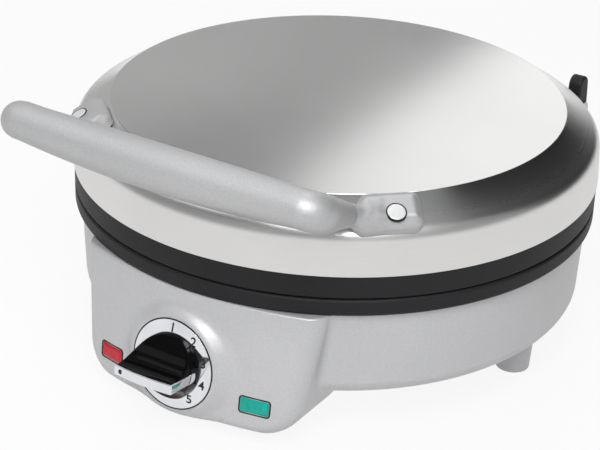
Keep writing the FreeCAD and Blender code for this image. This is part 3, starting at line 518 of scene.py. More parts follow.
@dataclass(frozen=True)
class Finish:
    """A surface with a fine grain and a broad, faint change of tone.

    Attributes:
        name: Name of the material.
        slot: Material slot of the record.
        tone: Main colour.
        shade: Colour of the darker patches.
        grain: Size of the grain in millimetres.
        patch: Size of the patches in millimetres.
        rough: Least and greatest roughness.
        metallic: Share of metal.
        relief: Strength of the grain's bump.
        stretch: How far the grain runs along each axis, as divisors of its frequency.
        speck: How strongly the grain itself shows in the colour.
        specular: Strength of the mirror part, where 0.5 is plain plastic.
    """

    name: str
    slot: str
    tone: str
    shade: str
    grain: float
    patch: float
    rough: tuple[float, float]
    metallic: float = 0.0
    relief: float = 0.1
    stretch: tuple[float, float, float] = (1.0, 1.0, 1.0)
    speck: float = 0.3
    specular: float = 0.5

    def material(self) -> Material:
        """Makes the material the first time it is asked for.

        Returns:
            The one material of this finish.
        """
        found = bpy.data.materials.get(self.name)
        if found is not None:
            return found
        made = bpy.data.materials.new(self.name)
        made.use_nodes = True
        made.diffuse_color = linear(self.tone)
        self.paint(made.node_tree, made.node_tree.nodes["Principled BSDF"])
        return made

    def grain_noise(self, tree: Tree) -> Socket:
        """Adds the grain.

        Args:
            tree: Node tree of the material.

        Returns:
            Output socket that runs from 0 to 1.
        """
        place = add_node(tree, "ShaderNodeTexCoord")
        scale = tuple(1.0 / s for s in self.stretch)
        spread = add_node(tree, "ShaderNodeMapping", inputs={
            "Vector": place.outputs["Object"], "Scale": scale})
        noise = add_node(tree, "ShaderNodeTexNoise", inputs={
            "Vector": spread.outputs["Vector"], "Scale": 1.0 / (self.grain * MM), "Detail": 3.0})
        return noise.outputs["Fac"]

    def patch_noise(self, tree: Tree) -> Socket:
        """Adds the broad patches.

        Args:
            tree: Node tree of the material.

        Returns:
            Output socket that runs from 0 to 1.
        """
        place = add_node(tree, "ShaderNodeTexCoord")
        noise = add_node(tree, "ShaderNodeTexNoise", inputs={
            "Vector": place.outputs["Object"], "Scale": 1.0 / (self.patch * MM), "Detail": 2.0})
        return noise.outputs["Fac"]

    def paint(self, tree: Tree, shader: Node) -> None:
        """Builds the nodes.

        Args:
            tree: Node tree of the material.
            shader: Its Principled shader.
        """
        grain = self.grain_noise(tree)
        patch = self.patch_noise(tree)
        self.colour(tree, shader, grain, patch)
        rough = add_node(tree, "ShaderNodeMapRange", inputs={
            "Value": grain, "From Min": NOISE_LOW, "From Max": NOISE_HIGH,
            "To Min": self.rough[0], "To Max": self.rough[1]})
        tree.links.new(rough.outputs["Result"], shader.inputs["Roughness"])
        bump = add_node(tree, "ShaderNodeBump", inputs={
            "Height": grain, "Strength": self.relief, "Distance": self.grain * MM})
        tree.links.new(bump.outputs["Normal"], shader.inputs["Normal"])
        shader.inputs["Metallic"].default_value = self.metallic
        shader.inputs["Specular IOR Level"].default_value = self.specular
        self.extra(tree, shader)

    def colour(self, tree: Tree, shader: Node, grain: Socket, patch: Socket) -> None:
        """Mixes the tone and the shade by the grain and the patches.

        Args:
            tree: Node tree of the material.
            shader: Its Principled shader.
            grain: The grain's socket.
            patch: The patches' socket.
        """
        blend = add_node(tree, "ShaderNodeMix", {"data_type": "FLOAT"}, {
            "Factor": self.speck, "A": patch, "B": grain})
        share = add_node(tree, "ShaderNodeMapRange", inputs={
            "Value": blend.outputs["Result"], "From Min": NOISE_LOW, "From Max": NOISE_HIGH})
        mix = add_node(tree, "ShaderNodeMix", {"data_type": "RGBA"}, {
            "Factor": share.outputs["Result"], "A": linear(self.shade), "B": linear(self.tone)})
        tree.links.new(mix.outputs["Result"], shader.inputs["Base Color"])

    def extra(self, tree: Tree, shader: Node) -> None:
        """Adds what a particular finish needs, which is nothing here."""


@dataclass(frozen=True)
class BrushedSteel(Finish):
    """Stainless sheet, brushed straight across its top and round its wall.

    Attributes:
        turn_height: Height above which the brushing is straight, in millimetres.
        turn_span: Height below that over which it changes from round, in millimetres.
        wall_rough: Roughness that the wall has beyond the top's.
        wall_span: Height over which that grows, in millimetres.
        line_detail: How many finer layers the brush lines have.
        line_share: How strong each layer is beside the one before.
    """

    turn_height: float = 130.0
    turn_span: float = 6.0
    wall_rough: float = 0.2
    wall_span: float = 16.0
    line_detail: float = 4.0
    line_share: float = 0.65

    def top_share(self, tree: Tree, low: float, high: float, span: float) -> Socket:
        """Adds a value that changes from the wall to the top.

        Args:
            tree: Node tree of the material.
            low: Value on the wall.
            high: Value on the top.
            span: Height in millimetres over which it changes.

        Returns:
            Output socket of the value.
        """
        place = add_node(tree, "ShaderNodeTexCoord")
        apart = add_node(tree, "ShaderNodeSeparateXYZ", inputs={"Vector": place.outputs["Object"]})
        share = add_node(tree, "ShaderNodeMapRange", inputs={
            "Value": apart.outputs["Z"], "From Min": (self.turn_height - span) * MM,
            "From Max": self.turn_height * MM, "To Min": low, "To Max": high})
        return share.outputs["Result"]

    def extra(self, tree: Tree, shader: Node) -> None:
        """Makes the wall rougher than the top.

        Args:
            tree: Node tree of the material.
            shader: Its Principled shader.
        """
        rough = shader.inputs["Roughness"].links[0].from_socket
        total = add_node(tree, "ShaderNodeMath", {"operation": "ADD"}, {
            0: rough, 1: self.top_share(tree, self.wall_rough, 0.0, self.wall_span)})
        tree.links.new(total.outputs[0], shader.inputs["Roughness"])

    def grain_noise(self, tree: Tree) -> Socket:
        """Adds brush lines along X on the top and round the axis on the wall.

        Args:
            tree: Node tree of the material.

        Returns:
            Output socket that runs from 0 to 1.
        """
        place = add_node(tree, "ShaderNodeTexCoord")
        lines = []
        fine = 1.0 / (self.grain * MM)
        run = fine / self.stretch[0]
        for scale in ((run, fine, run), (run, run, fine)):
            spread = add_node(tree, "ShaderNodeMapping", inputs={
                "Vector": place.outputs["Object"], "Scale": scale})
            lines.append(add_node(tree, "ShaderNodeTexNoise", inputs={
                "Vector": spread.outputs["Vector"], "Scale": 1.0,
                "Detail": self.line_detail, "Roughness": self.line_share}))
        mix = add_node(tree, "ShaderNodeMix", {"data_type": "FLOAT"}, {
            "Factor": self.top_share(tree, 0.0, 1.0, self.turn_span),
            "A": lines[1].outputs["Fac"], "B": lines[0].outputs["Fac"]})
        return mix.outputs["Result"]


@dataclass(frozen=True)
class ClearFinish(Finish):
    """A material that light passes through.

    Attributes:
        clear: Share of light that passes.
        ior: Index of refraction.
    """

    clear: float = 0.9
    ior: float = 1.5

    def extra(self, tree: Tree, shader: Node) -> None:
        """Lets light through.

        Args:
            tree: Node tree of the material.
            shader: Its Principled shader.
        """
        shader.inputs["Transmission Weight"].default_value = self.clear
        shader.inputs["IOR"].default_value = self.ior


@dataclass(frozen=True)
class LensPlastic(ClearFinish):
    """Coloured plastic with ribs on its inner face, which let less light through.

    Attributes:
        rib: Spacing of the ribs in millimetres.
        rib_share: How far the ribs take on the darker colour.
    """

    clear: float = 0.12
    ior: float = 1.49
    rib: float = 1.1
    rib_share: float = 0.55

    def extra(self, tree: Tree, shader: Node) -> None:
        """Lets light through and adds the ribs that show through the face.

        Args:
            tree: Node tree of the material.
            shader: Its Principled shader.
        """
        super().extra(tree, shader)
        place = add_node(tree, "ShaderNodeTexCoord")
        wave = add_node(tree, "ShaderNodeTexWave", {"bands_direction": "X"}, {
            "Vector": place.outputs["Object"], "Distortion": 0.0,
            "Scale": 1.0 / (self.rib * MM) / math.tau * 2})
        colour = shader.inputs["Base Color"].links[0].from_socket
        share = add_node(tree, "ShaderNodeMapRange", inputs={
            "Value": wave.outputs["Fac"], "To Min": 0.0, "To Max": self.rib_share})
        ribbed = add_node(tree, "ShaderNodeMix", {"data_type": "RGBA"}, {
            "Factor": share.outputs["Result"], "A": colour, "B": linear(self.shade)})
        tree.links.new(ribbed.outputs["Result"], shader.inputs["Base Color"])


# Stainless steel sheet, brushed with a belt: fine straight lines and a soft, drawn-out reflection.
# The lines are drawn coarser than the real 0.05 mm so that they show.
STEEL = BrushedSteel("brushed_stainless_steel", "lid_steel", "#E4E3E2", "#D9D8D7", 0.2, 90.0, (0.18, 0.2),
                     metallic=1.0, relief=0.005, stretch=(80.0, 1.0, 1.0), speck=0.5)
# ABS with silver lacquer: an even satin sheen with fine flake that glints a little.
# The flake is drawn coarser than the real 0.05 mm so that it shows.
SILVER = Finish("silver_lacquered_abs", "silver_plastic", "#C5C5C6", "#B2B2B4", 0.6, 60.0, (0.36, 0.48),
                metallic=0.32, relief=0.05, speck=0.8)
# Phenolic with silver lacquer: as the housing, but greyer and duller.
HANDLE_SILVER = Finish("silver_lacquered_phenolic", "handle_silver", "#BFBFC0", "#AAAAAB", 0.6, 50.0,
                       (0.48, 0.56), metallic=0.5, relief=0.06, speck=0.8)
# Heat-proof moulded plastic with a spark-eroded texture: charcoal, matt, lightly pebbled.
BLACK = Finish("textured_black_pbt", "black_plastic", "#1F1F21", "#18181A", 0.7, 40.0, (0.48, 0.62),
               relief=0.18, speck=0.5, specular=0.25)
# Polished black plastic: deep and mirror-like, with faint handling marks.
GLOSS = Finish("polished_black_abs", "black_gloss", "#080809", "#050506", 0.9, 12.0, (0.07, 0.12),
               relief=0.004, specular=0.1)
# Chrome-plated trim: a clear mirror with hardly any texture.
CHROME = Finish("chrome_plate", "bright_metal", "#E6E7EA", "#DADBDF", 0.8, 15.0, (0.05, 0.1),
                metallic=1.0, relief=0.004, speck=0.2)
# Satin nickel plate on the caps: bright, with a soft reflection.
CAP = Finish("satin_nickel_plate", "cap_silver", "#E6E6E6", "#DEDEDE", 0.4, 6.0, (0.3, 0.4),
             metallic=0.5, relief=0.02, speck=0.4)
# Moulded polycarbonate lamp windows: smooth and glossy, with a deep colour.
RED = LensPlastic("red_polycarbonate", "red_window", "#D42C3A", "#A81A28", 0.8, 6.0, (0.1, 0.18),
                  relief=0.01, specular=0.3)
GREEN = LensPlastic("green_polycarbonate", "green_window", "#12BFAC", "#0A8C80", 0.8, 6.0, (0.1, 0.18),
                    relief=0.01, specular=0.3)
# Cast aluminium under a dark baked non-stick coat: nearly black, satin, with a faint cast pebble.
COATING = Finish("nonstick_coated_aluminium", "plate_coating", "#3B3B3D", "#2C2C2E", 1.6, 35.0, (0.36, 0.5),
                 metallic=0.25, relief=0.1, speck=0.4)
# Mill-finish aluminium sheet: light grey with faint rolling lines.
SHEET = Finish("mill_aluminium_sheet", "reflector_sheet", "#C9CACB", "#B9BABC", 0.5, 50.0, (0.3, 0.45),
               metallic=1.0, relief=0.05, stretch=(25.0, 1.0, 1.0), speck=0.5)
# Steel heater sheath, dulled and tinted by heat.
SHEATH = Finish("heat_tinted_steel", "heater_sheath", "#86827A", "#5D554C", 0.6, 14.0, (0.42, 0.6),
                metallic=0.9, relief=0.08, speck=0.3)
# Zinc-plated steel: a cool, slightly cloudy grey metal.
ZINC = Finish("zinc_plated_steel", "zinc_steel", "#C4C4BF", "#A9AAA4", 0.6, 8.0, (0.28, 0.42),
              metallic=1.0, relief=0.04, speck=0.3)
# Rubber: dark, dull and finely pitted.
RUBBER = Finish("grey_rubber", "grey_rubber", "#474747", "#3A3A3A", 0.5, 15.0, (0.7, 0.85), relief=0.15)
# Moulded insulators, one pressed from steatite and one from phenolic: dull and faintly grainy.
WHITE = Finish("white_steatite", "white_moulding", "#E6E2D8", "#D8D2C4", 0.6, 12.0, (0.45, 0.6), relief=0.06)
BROWN = Finish("brown_phenolic", "brown_moulding", "#5F4430", "#4B3424", 0.6, 12.0, (0.4, 0.55), relief=0.06)
# Drawn glass of the neon bulbs: clear, with a hard shine.
GLASS = ClearFinish("clear_glass", "bulb_glass", "#F4EFE4", "#EFE6D6", 0.8, 8.0, (0.02, 0.06), relief=0.005)
# Printing ink on the dial: dense, dull black.
INK = Finish("black_printing_ink", "black_plastic", "#1B1B1C", "#141415", 0.3, 5.0, (0.45, 0.6), relief=0.02)


# Placing pieces in the frame


@dataclass
class Workshop:
    """The loaded frame, and where finished pieces go."""

    frame: dict
    axis_y: float

    def add(self, name: str, shape: Shape, finish: Finish, body: Body, *nodes: str) -> Thing:
        """Makes a piece from a shape.

        Args:
            name: Name of the piece.
            shape: Its shape, in the lid's frame.
            finish: Its surface.
            body: The CAD body that it rides on.
            nodes: CAD nodes that it stands for.

        Returns:
            The piece.
        """
        return self.add_mesh(name, shape.to_mesh(name, self.axis_y), finish, body, *nodes)

    def add_mesh(self, name: str, mesh: Mesh, finish: Finish, body: Body, *nodes: str) -> Thing:
        """Makes a piece from a mesh that is already in the part's frame.

        Args:
            name: Name of the piece.
            mesh: Its mesh, in metres.
            finish: Its surface.
            body: The CAD body that it rides on.
            nodes: CAD nodes that it stands for.

        Returns:
            The piece.
        """
        mesh.materials.clear()
        mesh.materials.append(finish.material())
        piece = bpy.data.objects.new(name, mesh)
        bpy.context.scene.collection.objects.link(piece)
        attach(piece, body.value)
        if nodes:
            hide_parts(*nodes)
        LOG.info("%s: %d faces on %s", name, len(mesh.polygons), body.value)
        return piece

    def dress(self, finish: Finish, *nodes: str) -> None:
        """Gives CAD nodes that keep their own mesh a finish.

        Args:
            finish: The surface.
            nodes: Names of the nodes.
        """
        for node in nodes:
            mesh = self.frame["nodes"][node].data
            mesh.materials.clear()
            mesh.materials.append(finish.material())
            LOG.info("%s: finish %s", node, finish.name)

    def copies(self, name: str, shape: Shape, spots: Sequence[Triple], finish: Finish) -> Mesh:
        """Sets copies of a shape on spots with Geometry Nodes.

        Args:
            name: Name of the result.
            shape: Shape round its own origin, in millimetres.
            spots: Places of the copies in the lid's frame, in millimetres.
            finish: Surface of the copies.

        Returns:
            One plain mesh in the part's frame.
        """
        kinds = {"Spots": "Geometry", "Copy": "Object", "Finish": "Material"}
        tree, names = start_tree("copies_on_spots", kinds)
        entry = add_node(tree, "NodeGroupInput").outputs
        end_tree(tree, put_copies(tree, entry["Spots"], entry["Copy"]), entry["Finish"])
        pattern = bpy.data.objects.new(name + "_pattern", shape.to_mesh(name + "_pattern", 0.0))
        mesh = bpy.data.meshes.new(name + "_spots")
        mesh.from_pydata((np.array(spots) * MM + np.array([0.0, self.axis_y, 0.0])).tolist(), [], [])
        values = {names["Copy"]: pattern, names["Finish"]: finish.material()}
        return self.grown(name, mesh, tree, values, [pattern])

    def grown(self, name: str, mesh: Mesh, tree: Tree, values: dict, helpers: list[Thing]) -> Mesh:
        """Runs a Geometry Nodes tree on a mesh and keeps the plain result.

        Args:
            name: Name of the result.
            mesh: Mesh that the tree starts from.
            tree: The tree.
            values: Its inputs by socket identifier.
            helpers: Objects that the tree reads, deleted afterwards.

        Returns:
            The finished mesh.
        """
        scene = bpy.context.scene
        carrier = bpy.data.objects.new(name + "_carrier", mesh)
        for thing in [carrier] + helpers:
            scene.collection.objects.link(thing)
        modifier = carrier.modifiers.new("grow", "NODES")
        modifier.node_group = tree
        for key, value in values.items():
            modifier[key] = value
        graph = bpy.context.evaluated_depsgraph_get()
        result = bpy.data.meshes.new_from_object(carrier.evaluated_get(graph), depsgraph=graph)
        result.name = name
        carrier.modifiers.remove(modifier)
        for thing in [carrier] + helpers:
            bpy.data.objects.remove(thing)
        return result


@dataclass(frozen=True)
class PanelFrame:
    """Place of the dial on the leaning, bowed control panel.

    Attributes:
        front: Axis of the lid to the panel's face at the dial.
        height: Dial above the table.
        lean: Degrees that the panel's top leans back.
        bow: Radius of the bowed front.
    """

    front: float = 144.0
    height: float = 36.5
    lean: float = 7.0
    bow: float = 195.0

    def axes(self, swing: float = 0.0) -> Array:
        """Gives the panel's directions.

        Args:
            swing: Degrees round the bowed front, to the right of the dial.

        Returns:
            Rows that point across, up along the panel and out of it.
        """
        lean = math.radians(self.lean)
        up = np.array([0.0, math.sin(lean), math.cos(lean)])
        out = np.array([0.0, -math.cos(lean), math.sin(lean)])
        across = np.array([1.0, 0.0, 0.0])
        c = math.cos(math.radians(swing))
        s = math.sin(math.radians(swing))
        return np.array([across * c - out * s, up, across * s + out * c])

    def origin(self, swing: float = 0.0, drop: float = 0.0) -> Array:
        """Gives a place on the panel's face.

        Args:
            swing: Degrees round the bowed front, to the right of the dial.
            drop: Millimetres below the dial, along the panel.

        Returns:
            The place in the lid's frame.
        """
        straight = self.axes()
        turned_axes = self.axes(swing)
        dial = np.array([0.0, -self.front, self.height])
        return dial + (turned_axes[2] - straight[2]) * self.bow - straight[1] * drop

    def local(self, points: Array) -> tuple[Array, Array, Array]:
        """Returns the distances across, up and out from the dial for points in the lid's frame."""
        parts = (points - self.origin()) @ self.axes().T
        return parts[:, 0], parts[:, 1], parts[:, 2]

    def placed(self, shape: Shape, swing: float = 0.0, drop: float = 0.0) -> Shape:
        """Returns a shape drawn with Z out of the panel, put in its place."""
        return shape.moved(self.origin(swing, drop), self.axes(swing))


@dataclass(frozen=True)
class Hinge:
    """Line of the two hinge pins behind the lid.

    Attributes:
        reach: Axis of the lid to the pins.
        height: Pins above the table.
        radius: Radius of what goes round a pin.
        bore: Radius of the holes for the pins.
        bore_edge: Rounding of the holes' edges.
    """

    reach: float = 147.0
    height: float = 92.0
    radius: float = 6.5
    bore: float = 3.05
    bore_edge: float = 0.3

    def drilled(self, body: Array, points: Array) -> Array:
        """Returns the field of a body with the hole for a pin through it."""
        bore = np.hypot(points[:, 1] - self.reach, points[:, 2] - self.height) - self.bore
        return both(body, -bore, self.bore_edge)


@dataclass(frozen=True)
class RimSizes:
    """What the two black rims share.

    Attributes:
        radius: Their outer radius.
        seat: Radius of the seat round the plate.
        ledge: Inner radius of the ledge behind the plate.
        collar_wall: Thickness of the collar inside the cover or the housing.
        edge: Rounding of the outer edges.
        inner_edge: Rounding of the inner edges.
        seat_corner: Rounding in the seat's corner.
        collar_corner: Rounding in the collar's corner.
    """

    radius: float = 140.0
    seat: float = 124.5
    ledge: float = 114.0
    collar_wall: float = 5.0
    edge: float = 1.8
    inner_edge: float = 0.5
    seat_corner: float = 0.4
    collar_corner: float = 0.3

    def ring(self, corners: Sequence[Corner]) -> Shape:
        """Returns a rim's ring from its outline."""
        return turned(corners, segments=256, steps=4)


# Lid


@dataclass
class Lid:
    """Steel cover and black upper rim with its hinge knuckles."""

    shop: Workshop
    rim: RimSizes = RimSizes()
    hinge: Hinge = Hinge()
    face: float = 84.2
    rim_top: float = 96.4
    ledge_low: float = 88.2
    ledge_high: float = 92.2
    collar: float = 138.85
    collar_top: float = 102.4
    cover_foot: float = 140.5
    shoulder: float = 139.2
    shoulder_height: float = 118.6
    shoulder_round: float = 9.0
    crease: float = 120.6
    crease_height: float = 130.6
    crease_round: float = 1.5
    crown: float = 2.6
    crown_steps: int = 14
    sheet: float = 1.0
    lip_round: float = 0.45
    inner_crease_shift: float = 0.3
    inner_crease_round: float = 0.6
    inner_shoulder_drop: float = 0.6
    knuckle_inner: float = 57.5
    knuckle_width: float = 12.0
    knuckle_run: float = 27.0
    knuckle_drop: float = 0.9
    knuckle_taper: float = 1.4
    knuckle_edge: float = 0.9
    knuckle_room: Room = Room((56.0, 112.0, 83.0), (71.0, 155.0, 100.0), 0.8)

    def crown_at(self, radius: float) -> float:
        """Returns the height of the cover's top at a radius."""
        return self.crease_height + self.crown * (1 - (radius / self.crease) ** 2)

    def build(self) -> None:
        """Builds the cover and the rim."""
        self.build_cover()
        self.build_rim()

    def build_cover(self) -> None:
        """Builds the drawn cover as a shell with rolled edges."""
        inner = [(r, self.crown_at(r) - self.sheet, 0.0)
                 for r in np.linspace(0, self.crease, self.crown_steps)[:-1]]
        inner.append((self.crease - self.inner_crease_shift, self.crease_height - self.sheet,
                      self.inner_crease_round))
        inner.append((self.shoulder - self.sheet, self.shoulder_height - self.inner_shoulder_drop,
                      self.shoulder_round - self.sheet))
        inner.append((self.cover_foot - self.sheet, self.rim_top, self.lip_round))
        outer = [(self.cover_foot, self.rim_top, self.lip_round),
                 (self.shoulder, self.shoulder_height, self.shoulder_round),
                 (self.crease, self.crease_height, self.crease_round)]
        outer += [(r, self.crown_at(r), 0.0) for r in np.linspace(self.crease, 0, self.crown_steps)[1:]]
        shape = turned(inner + outer, closed=False, segments=256, steps=8)
        self.shop.add("steel_cover", shape, STEEL, Body.LID, "lid_cover")

    def build_rim(self) -> None:
        """Builds the upper rim with its knuckles."""
        rim = self.rim
        wall = self.collar - rim.collar_wall
        soft = rim.inner_edge
        ring = rim.ring([
            (rim.ledge, self.ledge_low, soft), (rim.seat, self.ledge_low, rim.seat_corner),
            (rim.seat, self.face, soft), (rim.radius, self.face, rim.edge),
            (rim.radius, self.rim_top, rim.edge), (self.collar, self.rim_top, rim.collar_corner),
            (self.collar, self.collar_top, soft), (wall, self.collar_top, soft),
            (wall, self.ledge_high, soft), (rim.ledge, self.ledge_high, soft)])
        knuckles = carved(self.knuckle, self.knuckle_room).paired()
        self.shop.add("upper_black_rim", ring.joined(knuckles), BLACK, Body.LID, "upper_rim")

    def knuckle(self, points: Array) -> Array:
        """Gives the field of the right-hand hinge knuckle.

        Args:
            points: Places to measure, as rows.

        Returns:
            The field at each place.
        """
        hinge = self.hinge
        pin = np.array([0.0, hinge.reach, hinge.height])
        root = np.array([0.0, hinge.reach - self.knuckle_run, hinge.height - self.knuckle_drop])
        arm = limb(points * (0, 1, 1), root, pin, hinge.radius - self.knuckle_taper, hinge.radius)
        middle = self.knuckle_inner + self.knuckle_width / 2
        side = np.abs(points[:, 0] - middle) - self.knuckle_width / 2
        return hinge.drilled(both(arm, side, self.knuckle_edge), points)


# Handle


@dataclass
class Handle:
    """Bar across the front on two arms that end in screwed pads on the lid's shoulder."""

    shop: Workshop
    bar_reach: float = 160.0
    bar_top: float = 159.6
    bar_corner: float = 86.3
    bar_radius: float = 11.4
    end_radius: float = 9.3
    elbow: float = 6.0
    elbow_steps: int = 10
    neck_radius: float = 6.0
    neck_front: float = 24.0
    neck_lift: float = 8.6
    root_front: float = 12.0
    root_lift: float = 4.2
    root_radius: float = 4.8
    pad_angle: float = 47.0
    pad_tilt: float = 30.0
    pad_radius: float = 134.0
    pad_foot: float = 121.95
    pad_thickness: float = 9.0
    pad_front: float = 19.0
    pad_rear: float = 14.0
    pad_inner: float = 14.0
    pad_outer: float = 6.0
    pad_corner: float = 5.0
    pad_bevel: float = 4.6
    pad_edge: float = 1.0
    pad_fillet: float = 5.0
    pad_foot_edge: float = 0.5
    rise_slope: float = 0.3
    rise_curve: float = 0.05
    rise_edge: float = 1.0
    seat_round: float = 0.42
    seat_edge: float = 0.6
    flare_start: float = 12.0
    flare_end: float = 21.0
    flare_half: float = 6.6
    seat_gap: float = 0.3
    cap_radius: float = 4.5
    cap_thickness: float = 1.6
    cap_proud: float = 0.3
    cap_crown: float = 0.15
    cap_edge: float = 0.45
    cap_foot_edge: float = 0.2
    # Painted shade: thin black rings round the screw caps stand in for the shadow in the recess round each
    # cap. recess is their width beyond the cap.
    recess: float = 0.5
    cap_shade_ring_proud: float = 0.06
    cap_shade_ring_lap: float = 0.3
    cap_shade_ring_low_edge: float = 0.1
    cap_shade_ring_edge: float = 0.05
    room: Room = Room((-104.0, -174.0, 112.0), (104.0, -70.0, 162.0), 0.9)

    def pad_axes(self) -> tuple[Array, Array]:
        """Gives the right-hand pad's place and directions.

        Returns:
            Foot of its screw, and rows that point inward, forward and along its normal.
        """
        a = math.radians(self.pad_angle)
        t = math.radians(self.pad_tilt)
        up = np.array([0.0, 0.0, 1.0])
        outward = np.array([math.cos(a), -math.sin(a), 0.0])
        normal = outward * math.sin(t) + up * math.cos(t)
        inward = -outward * math.cos(t) + up * math.sin(t)
        forward = np.array([-math.sin(a), -math.cos(a), 0.0])
        return outward * self.pad_radius + up * self.pad_foot, np.array([inward, forward, normal])

    def arm_line(self) -> list[tuple[Array, float]]:
        """Gives the line of the right-hand arm.

        Returns:
            Points with the radius at each, from the bar's end to the pad.
        """
        foot, (_, forward, normal) = self.pad_axes()
        corner = np.array([self.bar_corner, -self.bar_reach, self.bar_top - self.end_radius])
        neck = foot + forward * self.neck_front + normal * self.neck_lift
        root = foot + forward * self.root_front + normal * self.root_lift
        inwards = np.array([-1.0, 0.0, 0.0])
        way = (neck - corner) / np.linalg.norm(neck - corner)
        opening = math.acos(float(way @ inwards))
        middle = (inwards + way) / np.linalg.norm(inwards + way)
        centre = corner + middle * self.elbow / math.sin(opening / 2)
        first = corner + inwards * self.elbow / math.tan(opening / 2) - centre
        line = []
        for angle in np.linspace(0, math.pi - opening, self.elbow_steps + 1):
            place = centre + first * math.cos(angle) - inwards * self.elbow * math.sin(angle)
            line.append((place, self.end_radius))
        return line + [(neck, self.neck_radius), (root, self.root_radius)]

    def bar(self, points: Array) -> Array:
        """Gives the field of the bar, thickest in the middle and level along its top.

        Args:
            points: Places to measure, as rows.

        Returns:
            The field at each place.
        """
        end = self.arm_line()[0][0][0]
        share = np.clip(points[:, 0] / end, 0, 1)
        radius = self.end_radius + (self.bar_radius - self.end_radius) * (1 - share ** 2)
        beyond = np.maximum(points[:, 0] - end, 0)
        away = np.hypot(points[:, 1] + self.bar_reach, beyond)
        return np.hypot(away, points[:, 2] - self.bar_top + radius) - radius

    def pad(self, points: Array) -> Array:
        """Gives the field of the right-hand pad, which narrows to the neck.

        Args:
            points: Places to measure, as rows.

        Returns:
            The field at each place.
        """
        foot, axes = self.pad_axes()
        inward, forward, normal = ((points - foot) @ axes.T).T
        share = np.clip((forward - self.flare_start) / (self.flare_end - self.flare_start), 0, 1)
        share = share * share * (3 - 2 * share)
        half = (self.pad_inner + self.pad_outer) / 2
        middle = (self.pad_inner - self.pad_outer) / 2 * (1 - share)
        across = np.abs(inward - middle) - half - (self.flare_half - half) * share
        along = np.abs(forward - (self.pad_front - self.pad_rear) / 2) - (self.pad_front + self.pad_rear) / 2
        block = both(across, along, self.pad_corner)
        face = normal - self.pad_thickness
        bevel = (block + face + self.pad_bevel) / math.sqrt(2.0)
        block = both(np.maximum(block, face), bevel, self.pad_edge)
        return both(block, -self.pad_thickness - normal, self.pad_foot_edge)

    def form(self, points: Array) -> Array:
        """Gives the field of the whole handle.

        Args:
            points: Places to measure, as rows.

        Returns:
            The field at each place.
        """
        folded = points.copy()
        folded[:, 0] = np.abs(folded[:, 0])
        line = self.arm_line()
        arm = np.full(len(points), np.inf)
        for (start, wide), (end, narrow) in zip(line[:-1], line[1:]):
            arm = np.minimum(arm, limb(folded, start, end, wide, narrow))
        bent = np.minimum(self.bar(folded), arm)
        whole = either(bent, self.pad(folded), self.pad_fillet)
        whole = both(whole, self.seat_gap - self.lid_form(points), self.seat_edge)
        return both(whole, self.pad_rise(folded), self.rise_edge)

    def pad_rise(self, points: Array) -> Array:
        """Measures the height above the right-hand pad's face, which rises towards the neck.

        Args:
            points: Places to measure, as rows.

        Returns:
            The height of each place.
        """
        foot, axes = self.pad_axes()
        _, forward, normal = ((points - foot) @ axes.T).T
        ahead = np.maximum(forward - self.cap_radius, 0)
        return normal - self.pad_thickness - self.rise_slope * ahead - self.rise_curve * ahead ** 2

    def lid_form(self, points: Array) -> Array:
        """Gives the field of the lid that the pads sit on.

        Args:
            points: Places to measure, as rows.

        Returns:
            The field at each place.
        """
        lid = Lid(self.shop)
        radius = np.hypot(points[:, 0], points[:, 1])
        rise = lid.crease_height - lid.shoulder_height
        width = lid.shoulder - lid.crease
        slope = (radius - lid.shoulder) * rise + (points[:, 2] - lid.shoulder_height) * width
        rounding = lid.shoulder_round * self.seat_round
        edge = both(slope / math.hypot(rise, width), radius - lid.shoulder, rounding)
        crown = points[:, 2] - lid.crown_at(0.0) + lid.crown * (radius / lid.crease) ** 2
        return np.maximum(edge, crown)

    def build(self) -> None:
        """Builds the handle, its caps and the black rings round them that paint the shade of their recesses.
        """
        self.shop.add("bar_handle", carved(self.form, self.room), HANDLE_SILVER, Body.LID, "handle")
        high = self.pad_thickness + self.cap_proud
        low = high - self.cap_thickness
        cap = turned([(0.0, low, 0.0), (self.cap_radius, low, self.cap_foot_edge),
                      (self.cap_radius, high - self.cap_crown, self.cap_edge), (0.0, high, 0.0)],
                     closed=False, segments=64)
        # Painted shade: a thin black ring round each cap, just proud of the pad, in place of the shadow in
        # the recess round the cap.
        flush = self.pad_thickness + self.cap_shade_ring_proud
        inner = self.cap_radius - self.cap_shade_ring_lap
        outer = self.cap_radius + self.recess
        ring = turned([(inner, low, self.cap_shade_ring_low_edge), (outer, low, self.cap_shade_ring_low_edge),
                       (outer, flush, self.cap_shade_ring_edge), (inner, flush, self.cap_shade_ring_edge)], segments=64)
        foot, axes = self.pad_axes()
        self.shop.add("screw_caps", cap.moved(foot, axes).paired(), CAP, Body.LID, "handle_caps")
        self.shop.add("cap_recesses", ring.moved(foot, axes).paired(), BLACK, Body.LID)


# Waffle plates


